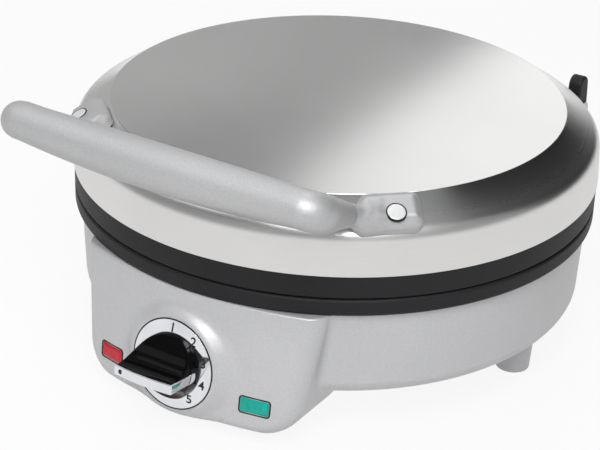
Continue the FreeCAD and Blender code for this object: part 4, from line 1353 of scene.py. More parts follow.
@dataclass
class Plates:
    """Two cast plates with studs, dividers and a heater channel on the back."""

    shop: Workshop
    parting: float = 84.0
    face: float = 83.8
    radius: float = 124.0
    flange: float = 4.0
    mouth: float = 111.0
    floor_radius: float = 106.0
    floor: float = 70.0
    back: float = 66.0
    rib_foot: float = 61.0
    channel_inner: float = 70.8
    channel_outer: float = 79.2
    channel_wall: float = 2.8
    channel_edge: float = 0.4
    channel_corner: float = 0.5
    rib_edge: float = 0.6
    rib_corner: float = 0.8
    back_edge: float = 2.0
    wall_at_flange: float = 112.37
    flange_corner: float = 0.8
    flange_edge: float = 0.3
    face_edge: float = 0.5
    mouth_edge: float = 1.2
    floor_corner: float = 2.4
    stud_pitch: float = 24.0
    stud_foot: float = 17.0
    stud_tip: float = 13.0
    stud_top: float = 80.0
    stud_sink: float = 1.5
    stud_edge: float = 1.5
    stud_gap: float = 1.0
    rows: int = 10
    divider: float = 3.0
    divider_draft: float = 0.6
    divider_edge: float = 0.8
    divider_gap: float = 0.3
    sharp_edge: float = 40.0

    def build(self) -> None:
        """Builds the lower plate, and the upper one as its turned-over copy."""
        lower = self.cast()
        upper = lower.copy()
        middle = Matrix.Translation((0.0, self.shop.axis_y, self.parting * MM))
        upper.transform(middle @ Matrix.Rotation(math.pi, 4, "X") @ middle.inverted())
        self.shop.add_mesh("lower_cast_plate", lower, COATING, Body.BASE, "lower_plate", "lower_plate_edge")
        self.shop.add_mesh("upper_cast_plate", upper, COATING, Body.LID, "upper_plate", "upper_plate_edge")

    def body(self) -> Shape:
        """Turns the body of a plate and adds its two dividers.

        Returns:
            The plate without its studs.
        """
        inner = self.channel_inner - self.channel_wall
        outer = self.channel_outer + self.channel_wall
        body = turned([
            (0.0, self.back, 0.0), (inner, self.back, self.rib_corner), (inner, self.rib_foot, self.rib_edge),
            (self.channel_inner, self.rib_foot, self.channel_edge),
            (self.channel_inner, self.back, self.channel_corner),
            (self.channel_outer, self.back, self.channel_corner),
            (self.channel_outer, self.rib_foot, self.channel_edge),
            (outer, self.rib_foot, self.rib_edge), (outer, self.back, self.rib_corner),
            (self.floor_radius + self.channel_wall, self.back, self.back_edge),
            (self.wall_at_flange, self.face - self.flange, self.flange_corner),
            (self.radius, self.face - self.flange, self.flange_edge),
            (self.radius, self.face, self.face_edge), (self.mouth, self.face, self.mouth_edge),
            (self.floor_radius, self.floor, self.floor_corner), (0.0, self.floor, 0.0)],
            closed=False, steps=4)
        half = self.divider / 2
        foot = self.floor - self.stud_sink
        reach = math.sqrt(self.floor_radius ** 2 - half ** 2) - self.divider_gap
        root = half + self.divider_draft
        top = self.stud_top
        ridge = drawn_out([(root, foot, 0.0), (half, top, self.divider_edge), (-half, top, self.divider_edge),
                           (-root, foot, 0.0)], -reach, reach)
        cross = ridge.moved((0, 0, 0), ((0, 1, 0), (-1, 0, 0), (0, 0, 1)))
        return Shape(body.points, body.faces).joined(ridge).joined(cross)

    def stud(self) -> Thing:
        """Makes one tapering stud with rounded edges.

        Returns:
            The stud in metres, not yet in the scene.
        """
        mesh = bpy.data.meshes.new("stud")
        form = bmesh.new()
        bmesh.ops.create_cube(form, size=1.0)
        height = self.stud_top - self.floor + self.stud_sink
        for vertex in form.verts:
            wide = self.stud_tip if vertex.co.z > 0 else self.stud_foot
            vertex.co = Vector((vertex.co.x * wide, vertex.co.y * wide, (vertex.co.z + 0.5) * height)) * MM
        sharp = [e for e in form.edges if max(v.co.z for v in e.verts) > height * MM * 0.5]
        bmesh.ops.bevel(form, geom=sharp, offset=self.stud_edge * MM, segments=3, profile=0.5, affect="EDGES")
        form.to_mesh(mesh)
        form.free()
        return bpy.data.objects.new("stud", mesh)

    def tree(self) -> tuple[Tree, dict[str, str]]:
        """Builds the tree that covers the floor with studs.

        Returns:
            The tree, and its sockets' identifiers by name.
        """
        tree, names = start_tree("stud_field", {
            "Body": "Geometry", "Stud": "Object", "Pitch": "Float", "Rows": "Int", "Half Foot": "Float",
            "Reach": "Float", "Middle": "Vector", "Finish": "Material"})
        entry = add_node(tree, "NodeGroupInput").outputs
        less = add_node(tree, "ShaderNodeMath", {"operation": "SUBTRACT"}, {0: entry["Rows"], 1: 1.0})
        size = add_node(tree, "ShaderNodeMath", {"operation": "MULTIPLY"}, {
            0: entry["Pitch"], 1: less.outputs[0]})
        grid = add_node(tree, "GeometryNodeMeshGrid", inputs={
            "Size X": size.outputs[0], "Size Y": size.outputs[0],
            "Vertices X": entry["Rows"], "Vertices Y": entry["Rows"]})
        place = add_node(tree, "GeometryNodeInputPosition")
        away = add_node(tree, "ShaderNodeVectorMath", {"operation": "ABSOLUTE"}, {0: place.outputs[0]})
        foot = add_node(tree, "ShaderNodeCombineXYZ", inputs={
            "X": entry["Half Foot"], "Y": entry["Half Foot"]})
        corner = add_node(tree, "ShaderNodeVectorMath", {"operation": "ADD"}, {
            0: away.outputs[0], 1: foot.outputs[0]})
        length = add_node(tree, "ShaderNodeVectorMath", {"operation": "LENGTH"}, {0: corner.outputs[0]})
        outside = add_node(tree, "FunctionNodeCompare", {"operation": "GREATER_THAN"}, {
            0: length.outputs["Value"], 1: entry["Reach"]})
        kept = add_node(tree, "GeometryNodeDeleteGeometry", inputs={
            "Geometry": grid.outputs["Mesh"], "Selection": outside.outputs["Result"]})
        moved = add_node(tree, "GeometryNodeTransform", inputs={
            "Geometry": kept.outputs["Geometry"], "Translation": entry["Middle"]})
        studs = put_copies(tree, moved.outputs["Geometry"], entry["Stud"])
        join = add_node(tree, "GeometryNodeJoinGeometry", inputs={0: studs})
        tree.links.new(entry["Body"], join.inputs[0])
        end_tree(tree, join.outputs["Geometry"], entry["Finish"])
        return tree, names

    def cast(self) -> Mesh:
        """Casts the lower plate with all its studs.

        Returns:
            The whole plate as one mesh.
        """
        tree, names = self.tree()
        stud = self.stud()
        middle = (0.0, self.shop.axis_y, (self.floor - self.stud_sink) * MM)
        values = {"Stud": stud, "Pitch": self.stud_pitch * MM, "Rows": self.rows,
                  "Half Foot": self.stud_foot / 2 * MM, "Reach": (self.floor_radius - self.stud_gap) * MM,
                  "Middle": middle, "Finish": COATING.material()}
        body = self.body().to_mesh("plate_body", self.shop.axis_y)
        mesh = self.shop.grown("cast_plate", body, tree, {names[k]: v for k, v in values.items()}, [stud])
        mesh.shade_smooth()
        mesh.set_sharp_from_angle(angle=math.radians(self.sharp_edge))
        return mesh


# Base


@dataclass
class Base:
    """Silver housing with its control panel, black lower rim with hinge ears, legs and pads."""

    shop: Workshop
    panel: PanelFrame = PanelFrame()
    rim: RimSizes = RimSizes()
    hinge: Hinge = Hinge()
    top: float = 74.8
    top_edge: float = 1.2
    wall: float = 3.2
    bowl_top: float = 136.5
    bowl_wall: float = 135.0
    curve_width: float = 27.5
    curve_height: float = 14.0
    bowl_low: float = 21.5
    service_hole: float = 86.0
    panel_top_half: float = 71.5
    panel_low_half: float = 62.8
    panel_low: float = 8.0
    panel_rear: float = 95.0
    panel_corner: float = 17.0
    panel_edge: float = 7.0
    panel_rear_edge: float = 3.0
    pocket_edge: float = 0.5
    pocket_fillet: float = 3.0
    shell_edge: float = 0.6
    crease_fillet: float = 2.5
    boss_height: float = 4.2
    boss_top: float = 24.6
    boss_foot: float = 30.0
    boss_bore: float = 9.0
    boss_fillet: float = 1.5
    boss_edge: float = 1.3
    boss_rear_edge: float = 0.5
    boss_low_edge: float = 2.0
    boss_bore_edge: float = 0.4
    chin_floor: float = 0.6
    housing_room: Room = Room((-142.0, -154.0, 4.0), (142.0, 140.0, 78.0), 1.6)
    rim_face: float = 83.8
    ledge_low: float = 75.8
    ledge_high: float = 79.8
    collar: float = 133.7
    collar_foot: float = 68.8
    ear_inner: float = 70.0
    ear_width: float = 8.0
    ear_edge: float = 1.3
    ear_tip: float = 5.4
    ear_tip_height: float = 106.6
    ear_foot: float = 109.0
    ear_foot_edge: float = 1.5
    ear_fillet: float = 4.0
    ear_trim_edge: float = 0.6
    ear_room: Room = Room((68.0, 106.0, 72.0), (80.0, 156.0, 114.0), 0.8)
    leg_circle: float = 112.4
    leg_angles: tuple[float, ...] = (3.0, 177.0, 57.0, 123.0)
    leg_top: float = 24.0
    leg_top_radius: float = 10.5
    leg_foot_radius: float = 9.0
    leg_lip: float = 0.5
    leg_lip_edge: float = 1.2
    leg_top_edge: float = 0.3
    leg_recess_edge: float = 0.2
    foot_thickness: float = 2.0
    foot_radius: float = 7.5
    foot_gap: float = 0.2
    foot_sink: float = 0.3
    foot_edge: float = 0.6
    foot_top_edge: float = 0.3
    groove: tuple[float, ...] = (0.5, 0.54, 0.66, 0.7)
    groove_depth: float = 0.5
    groove_edge: float = 0.1
    groove_corner: float = 0.2
    front_pad_radius: float = 8.0
    front_pad_x: float = 38.0
    front_pad_y: float = -107.0

    def build(self) -> None:
        """Builds every piece of the base's outside."""
        housing = carved(self.housing, self.housing_room)
        self.shop.add("base_shell", housing, SILVER, Body.BASE, "base_housing")
        self.build_rim()
        self.build_feet()

    def bowl(self, points: Array, inset: float) -> Array:
        """Gives the field of the filled bowl.

        Args:
            points: Places to measure, as rows.
            inset: How far the form is drawn in.

        Returns:
            The field at each place.
        """
        height = self.bowl_low + self.curve_height
        radius = np.hypot(points[:, 0], points[:, 1])
        u = radius - (self.bowl_wall - self.curve_width)
        v = height - points[:, 2]
        wide = self.curve_width - inset
        tall = self.curve_height - inset
        rise = self.top - height
        draft = self.bowl_top - self.bowl_wall
        wall = ((u - wide) * rise + v * draft) / math.hypot(rise, draft)
        share = np.maximum(np.hypot(u / wide, v / tall), TINY)
        steep = np.maximum(np.hypot(u / wide ** 2, v / tall ** 2), LEAST_LENGTH)
        corner = (share - 1) * share / steep
        return np.where(v <= 0, wall, np.where(u <= 0, v - tall, corner))

    def panel_block(self, points: Array, inset: float) -> Array:
        """Gives the field of the filled control panel with its chin.

        Args:
            points: Places to measure, as rows.
            inset: How far the form is drawn in.

        Returns:
            The field at each place.
        """
        across, _, out = self.panel.local(points)
        bow = self.panel.bow
        barrel = np.hypot(across, out + bow) - bow + inset
        lean = (self.panel_top_half - self.panel_low_half) / (self.top - self.panel_low)
        half = self.panel_low_half + lean * (points[:, 2] - self.panel_low)
        sides = (np.abs(points[:, 0]) - half) / math.hypot(1, lean) + inset
        bottom = self.panel_low - points[:, 2] + inset
        block = both(sides, bottom, self.panel_corner - inset)
        block = both(block, barrel, self.panel_edge - inset)
        return both(block, points[:, 1] + self.panel_rear + inset, self.panel_rear_edge)

    def boss(self, points: Array) -> Array:
        """Gives the field of the raised cone that carries the dial.

        Args:
            points: Places to measure, as rows.

        Returns:
            The field at each place.
        """
        across, up, out = self.panel.local(points)
        slope = (self.boss_foot - self.boss_top) / self.boss_height
        side = (np.hypot(across, up) - self.boss_foot + slope * out) / math.hypot(1, slope)
        cone = both(side, out - self.boss_height, self.boss_edge)
        cone = both(cone, -out - self.boss_height, self.boss_rear_edge)
        return both(cone, self.panel_low + self.chin_floor - points[:, 2], self.boss_low_edge)

    def housing(self, points: Array) -> Array:
        """Gives the field of the moulded shell.

        Args:
            points: Places to measure, as rows.

        Returns:
            The field at each place.
        """
        outside = either(self.bowl(points, 0.0), self.panel_block(points, 0.0), self.crease_fillet)
        outside = either(outside, self.boss(points), self.boss_fillet)
        outside = both(outside, points[:, 2] - self.top, self.top_edge)
        ceiling = points[:, 2] - self.top + self.wall
        pocket = both(self.panel_block(points, self.wall), ceiling, self.pocket_edge)
        inside = either(self.bowl(points, self.wall), pocket, self.pocket_fillet)
        shell = both(outside, -inside, self.shell_edge)
        radius = np.hypot(points[:, 0], points[:, 1])
        hole = np.maximum(radius - self.service_hole, points[:, 2] - self.bowl_low - 2 * self.wall)
        shell = both(shell, -hole, self.shell_edge)
        across, up, out = self.panel.local(points)
        bore = np.maximum(np.hypot(across, up) - self.boss_bore, np.abs(out) - 4 * self.wall)
        return both(shell, -bore, self.boss_bore_edge)

    def ear(self, points: Array) -> Array:
        """Gives the field of the right-hand hinge ear.

        Args:
            points: Places to measure, as rows.

        Returns:
            The field at each place.
        """
        hinge = self.hinge
        y = points[:, 1]
        z = points[:, 2]
        rear = hinge.reach + hinge.radius
        foot = both(np.abs(y - (self.ear_foot + rear) / 2) - (rear - self.ear_foot) / 2,
                    np.abs(z - (self.top + self.rim_face) / 2) - (self.rim_face - self.top) / 2,
                    self.ear_foot_edge)
        flat = points * (0, 1, 1)
        pin = np.array([0.0, hinge.reach, hinge.height])
        low = np.array([0.0, hinge.reach, self.top + hinge.radius])
        tip = np.array([0.0, hinge.reach, self.ear_tip_height])
        post = np.minimum(limb(flat, low, pin, hinge.radius, hinge.radius),
                          limb(flat, pin, tip, hinge.radius, self.ear_tip))
        trim = np.maximum(y - rear, self.top - z)
        profile = both(either(foot, post, self.ear_fillet), trim, self.ear_trim_edge)
        middle = self.ear_inner + self.ear_width / 2
        side = np.abs(points[:, 0] - middle) - self.ear_width / 2
        return hinge.drilled(both(profile, side, self.ear_edge), points)

    def build_rim(self) -> None:
        """Builds the lower rim with its ears."""
        rim = self.rim
        wall = self.collar - rim.collar_wall
        soft = rim.inner_edge
        ring = rim.ring([
            (rim.ledge, self.ledge_low, soft), (wall, self.ledge_low, soft), (wall, self.collar_foot, soft),
            (self.collar, self.collar_foot, soft), (self.collar, self.top, rim.collar_corner),
            (rim.radius, self.top, rim.edge), (rim.radius, self.rim_face, rim.edge),
            (rim.seat, self.rim_face, soft), (rim.seat, self.ledge_high, rim.seat_corner),
            (rim.ledge, self.ledge_high, soft)])
        ears = carved(self.ear, self.ear_room).paired()
        self.shop.add("lower_black_rim", ring.joined(ears), BLACK, Body.BASE, "lower_rim")

    def build_feet(self) -> None:
        """Builds the legs and the rubber pads."""
        foot = self.foot_thickness
        recess = self.foot_radius + self.foot_gap
        leg = turned([(0.0, foot, 0.0), (recess, foot, self.leg_recess_edge),
                      (recess, self.leg_lip, self.leg_recess_edge),
                      (self.leg_foot_radius, self.leg_lip, self.leg_lip_edge),
                      (self.leg_top_radius, self.leg_top, self.leg_top_edge), (0.0, self.leg_top, 0.0)],
                     closed=False, segments=64)
        angles = [math.radians(a) for a in self.leg_angles]
        spots = [(self.leg_circle * math.cos(a), self.leg_circle * math.sin(a), 0.0) for a in angles]
        legs = self.shop.copies("legs", leg, spots, SILVER)
        self.shop.add_mesh("legs", legs, SILVER, Body.BASE,
                           "leg_right", "leg_left", "leg_rear_right", "leg_rear_left")
        pad = self.pad(self.foot_radius, foot + self.foot_sink)
        pads = self.shop.copies("leg_pads", pad, spots, RUBBER)
        self.shop.add_mesh("leg_pads", pads, RUBBER, Body.BASE, "foot_pads")
        pad = self.pad(self.front_pad_radius, self.panel_low + self.chin_floor)
        spots = [(x, self.front_pad_y, 0.0) for x in (self.front_pad_x, -self.front_pad_x)]
        pads = self.shop.copies("chin_pads", pad, spots, RUBBER)
        self.shop.add_mesh("chin_pads", pads, RUBBER, Body.BASE, "front_pads")

    def pad(self, radius: float, height: float) -> Shape:
        """Turns a rubber pad with a ring groove under it.

        Args:
            radius: Outer radius of the pad.
            height: Its top above the table.

        Returns:
            The pad on the axis.
        """
        start, rise, fall, end = (radius * share for share in self.groove)
        deep = self.groove_depth
        return turned([(0.0, 0.0, 0.0), (start, 0.0, self.groove_edge), (rise, deep, self.groove_corner),
                       (fall, deep, self.groove_corner), (end, 0.0, self.groove_edge),
                       (radius, 0.0, self.foot_edge), (radius, height, self.foot_top_edge),
                       (0.0, height, 0.0)], closed=False, segments=64)


# Dial and knob


@dataclass
class Dial:
    """Bright ring with its numbers and a thin black ring round it that paints the shade of the gap at its
    edge, and the black knob with its bright strip.
    """

    shop: Workshop
    panel: PanelFrame = PanelFrame()
    seat: float = 4.2
    ring_radius: float = 23.2
    ring_bore: float = 10.0
    ring_top: float = 5.4
    ring_edge: float = 4.3
    ring_round: float = 0.2
    ring_low_round: float = 0.1
    ring_bend: float = 2.0
    # Painted shade: a thin black ring round the dial plate stands in for the shadow in the gap between the
    # plate and the boss. groove is its width past the plate, groove_depth how far it sinks below the seat.
    groove: float = 0.7
    shade_ring_lap: float = 0.2
    groove_depth: float = 0.6
    shade_ring_proud: float = 0.08
    shade_ring_low_round: float = 0.1
    shade_ring_round: float = 0.05
    knob_radius: float = 17.0
    knob_low: float = 5.5
    knob_front: float = 29.5
    knob_base: float = 2.8
    knob_edge: float = 0.7
    knob_low_edge: float = 0.4
    blade: float = 2.9
    scoop: float = 20.0
    scoop_edge: float = 0.8
    hub_radius: float = 7.0
    hub_low: float = 0.5
    hub_edge: float = 0.4
    shaft_bore: float = 3.05
    bore_depth: float = 12.0
    bore_edge: float = 0.2
    strip_half: float = 2.6
    strip_sheet: float = 1.1
    strip_proud: float = 0.5
    strip_bow: float = 105.0
    strip_end: float = 0.15
    strip_corner: float = 0.3
    strip_edge: float = 0.45
    strip_gap: float = 0.4
    dot_radius: float = 1.3
    dot_x: float = -13.0
    dot_depth: float = 0.5
    dot_proud: float = 0.1
    dot_crown: float = 0.12
    dot_round: float = 0.1
    knob_room: Room = Room((-18.0, -18.0, -0.5), (18.0, 18.0, 31.0), 0.55)
    strip_room: Room = Room((-18.0, -4.0, 6.0), (18.0, 4.0, 31.5), 0.4)
    number_size: float = 6.6
    number_thickness: float = 0.06
    number_proud: float = 0.04
    number_weight: float = 0.11
    number_circle: float = 19.4
    number_angles: tuple[float, ...] = (-3.0, 37.0, 72.0, 107.0, 142.0)

    def build(self) -> None:
        """Builds the ring, the numbers, the knob and its strip."""
        ring = turned([(self.ring_bore, self.seat, self.ring_low_round),
                       (self.ring_radius, self.seat, self.ring_low_round),
                       (self.ring_radius, self.ring_edge, self.ring_round),
                       (self.knob_radius, self.ring_top, self.ring_bend),
                       (self.ring_bore, self.ring_top, self.ring_round)], segments=128)
        self.shop.add("dial_plate", self.panel.placed(ring), CHROME, Body.BASE, "dial_ring")
        # Painted shade: the black ring round the plate's edge in place of the shadow in the gap there.
        inner = self.ring_radius - self.shade_ring_lap
        outer = self.ring_radius + self.groove
        low = self.seat - self.groove_depth
        high = self.seat + self.shade_ring_proud
        line = turned([(inner, low, self.shade_ring_low_round), (outer, low, self.shade_ring_low_round),
                       (outer, high, self.shade_ring_round), (inner, high, self.shade_ring_round)], segments=128)
        self.shop.add("dial_groove", self.panel.placed(line), BLACK, Body.BASE)
        self.shop.add("dial_numbers", self.panel.placed(self.numbers()), INK, Body.BASE)
        knob = carved(self.knob, self.knob_room)
        self.shop.add("knob_grip", self.panel.placed(knob), GLOSS, Body.KNOB, "knob")
        strip = carved(self.strip, self.strip_room)
        self.shop.add("knob_trim", self.panel.placed(strip), CHROME, Body.KNOB, "knob_strip")
        front = self.front_at(self.dot_x) + self.strip_proud
        low = front - self.dot_depth
        dot = turned([(0.0, low, 0.0), (self.dot_radius, low, self.dot_round),
                      (self.dot_radius, front + self.dot_proud, self.dot_round),
                      (0.0, front + self.dot_crown, 0.0)], closed=False, segments=32)
        dot.points[:, 0] += self.dot_x
        self.shop.add("knob_dot", self.panel.placed(dot), INK, Body.KNOB)

    def front_at(self, across: Array | float) -> Array | float:
        """Returns how far out the bowed front of the grip stands at a place across it."""
        return self.knob_front - across ** 2 / (2 * self.strip_bow)

    def knob(self, points: Array) -> Array:
        """Gives the field of the knob, drawn with Z out of the panel.

        Args:
            points: Places to measure, as rows.

        Returns:
            The field at each place.
        """
        x, y, z = points.T
        radius = np.hypot(x, y)
        body = both(radius - self.knob_radius, z - self.front_at(x), self.knob_edge)
        body = both(body, self.knob_low - z, self.knob_low_edge)
        near = np.array([self.blade, self.knob_front])
        edge = np.array([self.knob_radius, self.knob_low + self.knob_base])
        chord = edge - near
        length = np.hypot(*chord)
        lift = math.sqrt(self.scoop ** 2 - (length / 2) ** 2)
        middle = (near + edge) / 2 + np.array([-chord[1], chord[0]]) / length * lift
        hollow = np.hypot(np.abs(y) - middle[0], z - middle[1]) - self.scoop
        body = both(body, -hollow, self.scoop_edge)
        tall = np.abs(z - self.knob_low) - (self.knob_low - self.hub_low)
        hub = both(radius - self.hub_radius, tall, self.hub_edge)
        body = np.minimum(body, hub)
        bore = np.maximum(radius - self.shaft_bore, z - self.hub_low - self.bore_depth)
        return both(body, -bore, self.bore_edge)

    def strip(self, points: Array) -> Array:
        """Gives the field of the bright trim over the front and the ends of the grip.

        Args:
            points: Places to measure, as rows.

        Returns:
            The field at each place.
        """
        x, y, z = points.T
        front = self.front_at(x) + self.strip_proud
        depth = np.abs(z - front + self.strip_sheet / 2) - self.strip_sheet / 2
        end = self.knob_radius + self.strip_end
        face = both(depth, np.hypot(x, y) - end, self.strip_corner)
        shell = np.abs(np.hypot(x, y) - end + self.strip_sheet / 2) - self.strip_sheet / 2
        tall = np.maximum(z - front, self.knob_low + self.knob_base + self.strip_gap - z)
        ends = both(shell, tall, self.strip_corner)
        return both(np.minimum(face, ends), np.abs(y) - self.strip_half, self.strip_edge)

    def numbers(self) -> Shape:
        """Draws the numbers of the scale, with Z out of the panel.

        Returns:
            All the numbers as one shape.
        """
        whole: Optional[Shape] = None
        for index, degrees in enumerate(self.number_angles):
            curve = bpy.data.curves.new("number", "FONT")
            curve.body = str(index + 1)
            curve.size = self.number_size
            curve.extrude = self.number_thickness
            curve.offset = self.number_weight
            curve.align_x = "CENTER"
            curve.align_y = "CENTER"
            text = bpy.data.objects.new("number", curve)
            bpy.context.scene.collection.objects.link(text)
            graph = bpy.context.evaluated_depsgraph_get()
            mesh = bpy.data.meshes.new_from_object(text.evaluated_get(graph), depsgraph=graph)
            points = np.array([v.co[:] for v in mesh.vertices])
            angle = math.radians(degrees)
            points[:, 0] += self.number_circle * math.sin(angle)
            points[:, 1] += self.number_circle * math.cos(angle)
            fall = (self.ring_top - self.ring_edge) / (self.ring_radius - self.knob_radius)
            down = fall * (np.hypot(points[:, 0], points[:, 1]) - self.knob_radius)
            points[:, 2] += self.ring_top + self.number_proud - down
            number = Shape(points, [tuple(p.vertices) for p in mesh.polygons])
            whole = number if whole is None else whole.joined(number)
            bpy.data.objects.remove(text)
            bpy.data.meshes.remove(mesh)
            bpy.data.curves.remove(curve)
        return whole


# Lamps


@dataclass
class Lamps:
    """Red and green windows on the panel, each in a thin black frame that paints the shade of the gap round
    it.
    """

    shop: Workshop
    panel: PanelFrame = PanelFrame()
    swing: float = 12.98
    drop: float = 11.8
    width: float = 15.4
    height: float = 8.2
    proud: float = 0.6
    depth: float = 3.0
    corner: float = 1.3
    fit: float = 0.1
    bevel: float = 1.4
    bevel_slope: float = 2.0
    bevel_edge: float = 0.15
    face_edge: float = 0.1
    rear_edge: float = 0.2
    # Painted shade: a thin black frame round each window stands in for the shadow in the gap round it. frame
    # is its width.
    frame: float = 0.7
    shade_frame_fit: float = 0.05
    shade_frame_sink: float = 0.9
    shade_frame_half: float = 1.1
    shade_frame_edge: float = 0.1
    shade_frame_rear_edge: float = 0.2
    margin: float = 2.0
    front_margin: float = 1.5
    rear_margin: float = 1.0
    lens_step: float = 0.4
    shade_frame_step: float = 0.35

    def build(self) -> None:
        """Builds both windows with their painted-shade frames."""
        self.build_one("red_lamp", RED, -self.swing, "red_lens")
        self.build_one("green_lamp", GREEN, self.swing, "green_lens")

    def build_one(self, name: str, finish: Finish, swing: float, node: str) -> None:
        """Builds one window.

        Args:
            name: Start of the pieces' names.
            finish: Surface of the window.
            swing: Degrees round the bowed front.
            node: CAD node of the window.
        """
        high = (self.width / 2 + self.margin, self.height / 2 + self.margin, self.proud + self.front_margin)
        low = (-high[0], -high[1], -self.depth - self.rear_margin)
        lens = carved(self.lens, Room(low, high, self.lens_step))
        self.shop.add(name + "_window", self.panel.placed(lens, swing, self.drop), finish, Body.BASE, node)
        # Painted shade: the black frame round the window in place of the shadow in its gap.
        painted_shade_frame = carved(self.painted_shade_frame, Room(low, high, self.shade_frame_step))
        self.shop.add(name + "_frame", self.panel.placed(painted_shade_frame, swing, self.drop), BLACK, Body.BASE)

    def outline(self, points: Array, grow: float) -> Array:
        """Gives the field of the window's rounded outline.

        Args:
            points: Places to measure, as rows.
            grow: How much larger the outline is.

        Returns:
            The field at each place.
        """
        across = np.abs(points[:, 0]) - self.width / 2 - grow
        up = np.abs(points[:, 1]) - self.height / 2 - grow
        return both(across, up, self.corner + max(grow, 0.0))

    def lens(self, points: Array) -> Array:
        """Gives the field of the window, drawn with Z out of the panel.

        Args:
            points: Places to measure, as rows.

        Returns:
            The field at each place.
        """
        side = self.outline(points, -self.fit)
        face = points[:, 2] - self.proud
        bevel = (side + self.bevel + self.bevel_slope * face) / math.hypot(1, self.bevel_slope)
        block = both(both(side, face, self.face_edge), bevel, self.bevel_edge)
        return both(block, -self.depth - points[:, 2], self.rear_edge)

    def painted_shade_frame(self, points: Array) -> Array:
        """Returns the field of the black frame round the window, which paints the shade of the gap round it.
        """
        ring = both(self.outline(points, self.frame), -self.outline(points, -self.shade_frame_fit), self.shade_frame_edge)
        return both(ring, np.abs(points[:, 2] + self.shade_frame_sink) - self.shade_frame_half, self.shade_frame_rear_edge)


# Inner works


@dataclass
class InnerWorks:
    """CAD nodes that keep their own shape and get a finish."""

    shop: Workshop
    finishes: tuple[tuple[Finish, tuple[str, ...]], ...] = (
        (SHEET, ("upper_reflector", "lower_reflector", "bottom_cover")),
        (SHEATH, ("upper_heater", "lower_heater")),
        (ZINC, ("upper_plate_screws", "lower_plate_screws", "handle_screws", "handle_backing_plates",
                "bottom_cover_screws", "leg_screws", "hinge_pin_right", "hinge_pin_left", "hinge_clips",
                "thermostat_shaft", "thermostat_bracket", "thermostat_screws", "fuse_strap",
                "terminal_screws")),
        (WHITE, ("red_lamp_holder", "green_lamp_holder", "terminal_block", "thermal_fuse")),
        (BROWN, ("thermostat_body",)),
        (GLASS, ("red_bulb", "green_bulb")),
        (RUBBER, ("cord_gland",)),
    )

    def build(self) -> None:
        """Dresses the nodes."""
        for finish, nodes in self.finishes:
            self.shop.dress(finish, *nodes)


# Studio


@dataclass(frozen=True)
class Stand:
    """Where a lamp or a card stands, facing the object.

    Attributes:
        azimuth: Degrees from the rear towards the right.
        height: Degrees above the table.
        distance: Metres from the object.
        size: Width and height in metres.
        tilt: Degrees that its top leans to the left, seen from the object.
    """

    azimuth: float
    height: float
    distance: float
    size: tuple[float, float]
    tilt: float


@dataclass(frozen=True)
class SoftBox(Stand):
    """A large soft lamp.

    Attributes:
        strength: Radiance of its face.
    """

    strength: float


@dataclass(frozen=True)
class Card(Stand):
    """A grey card that the steel reflects.

    Attributes:
        tone: Colour of the card.
    """

    tone: str


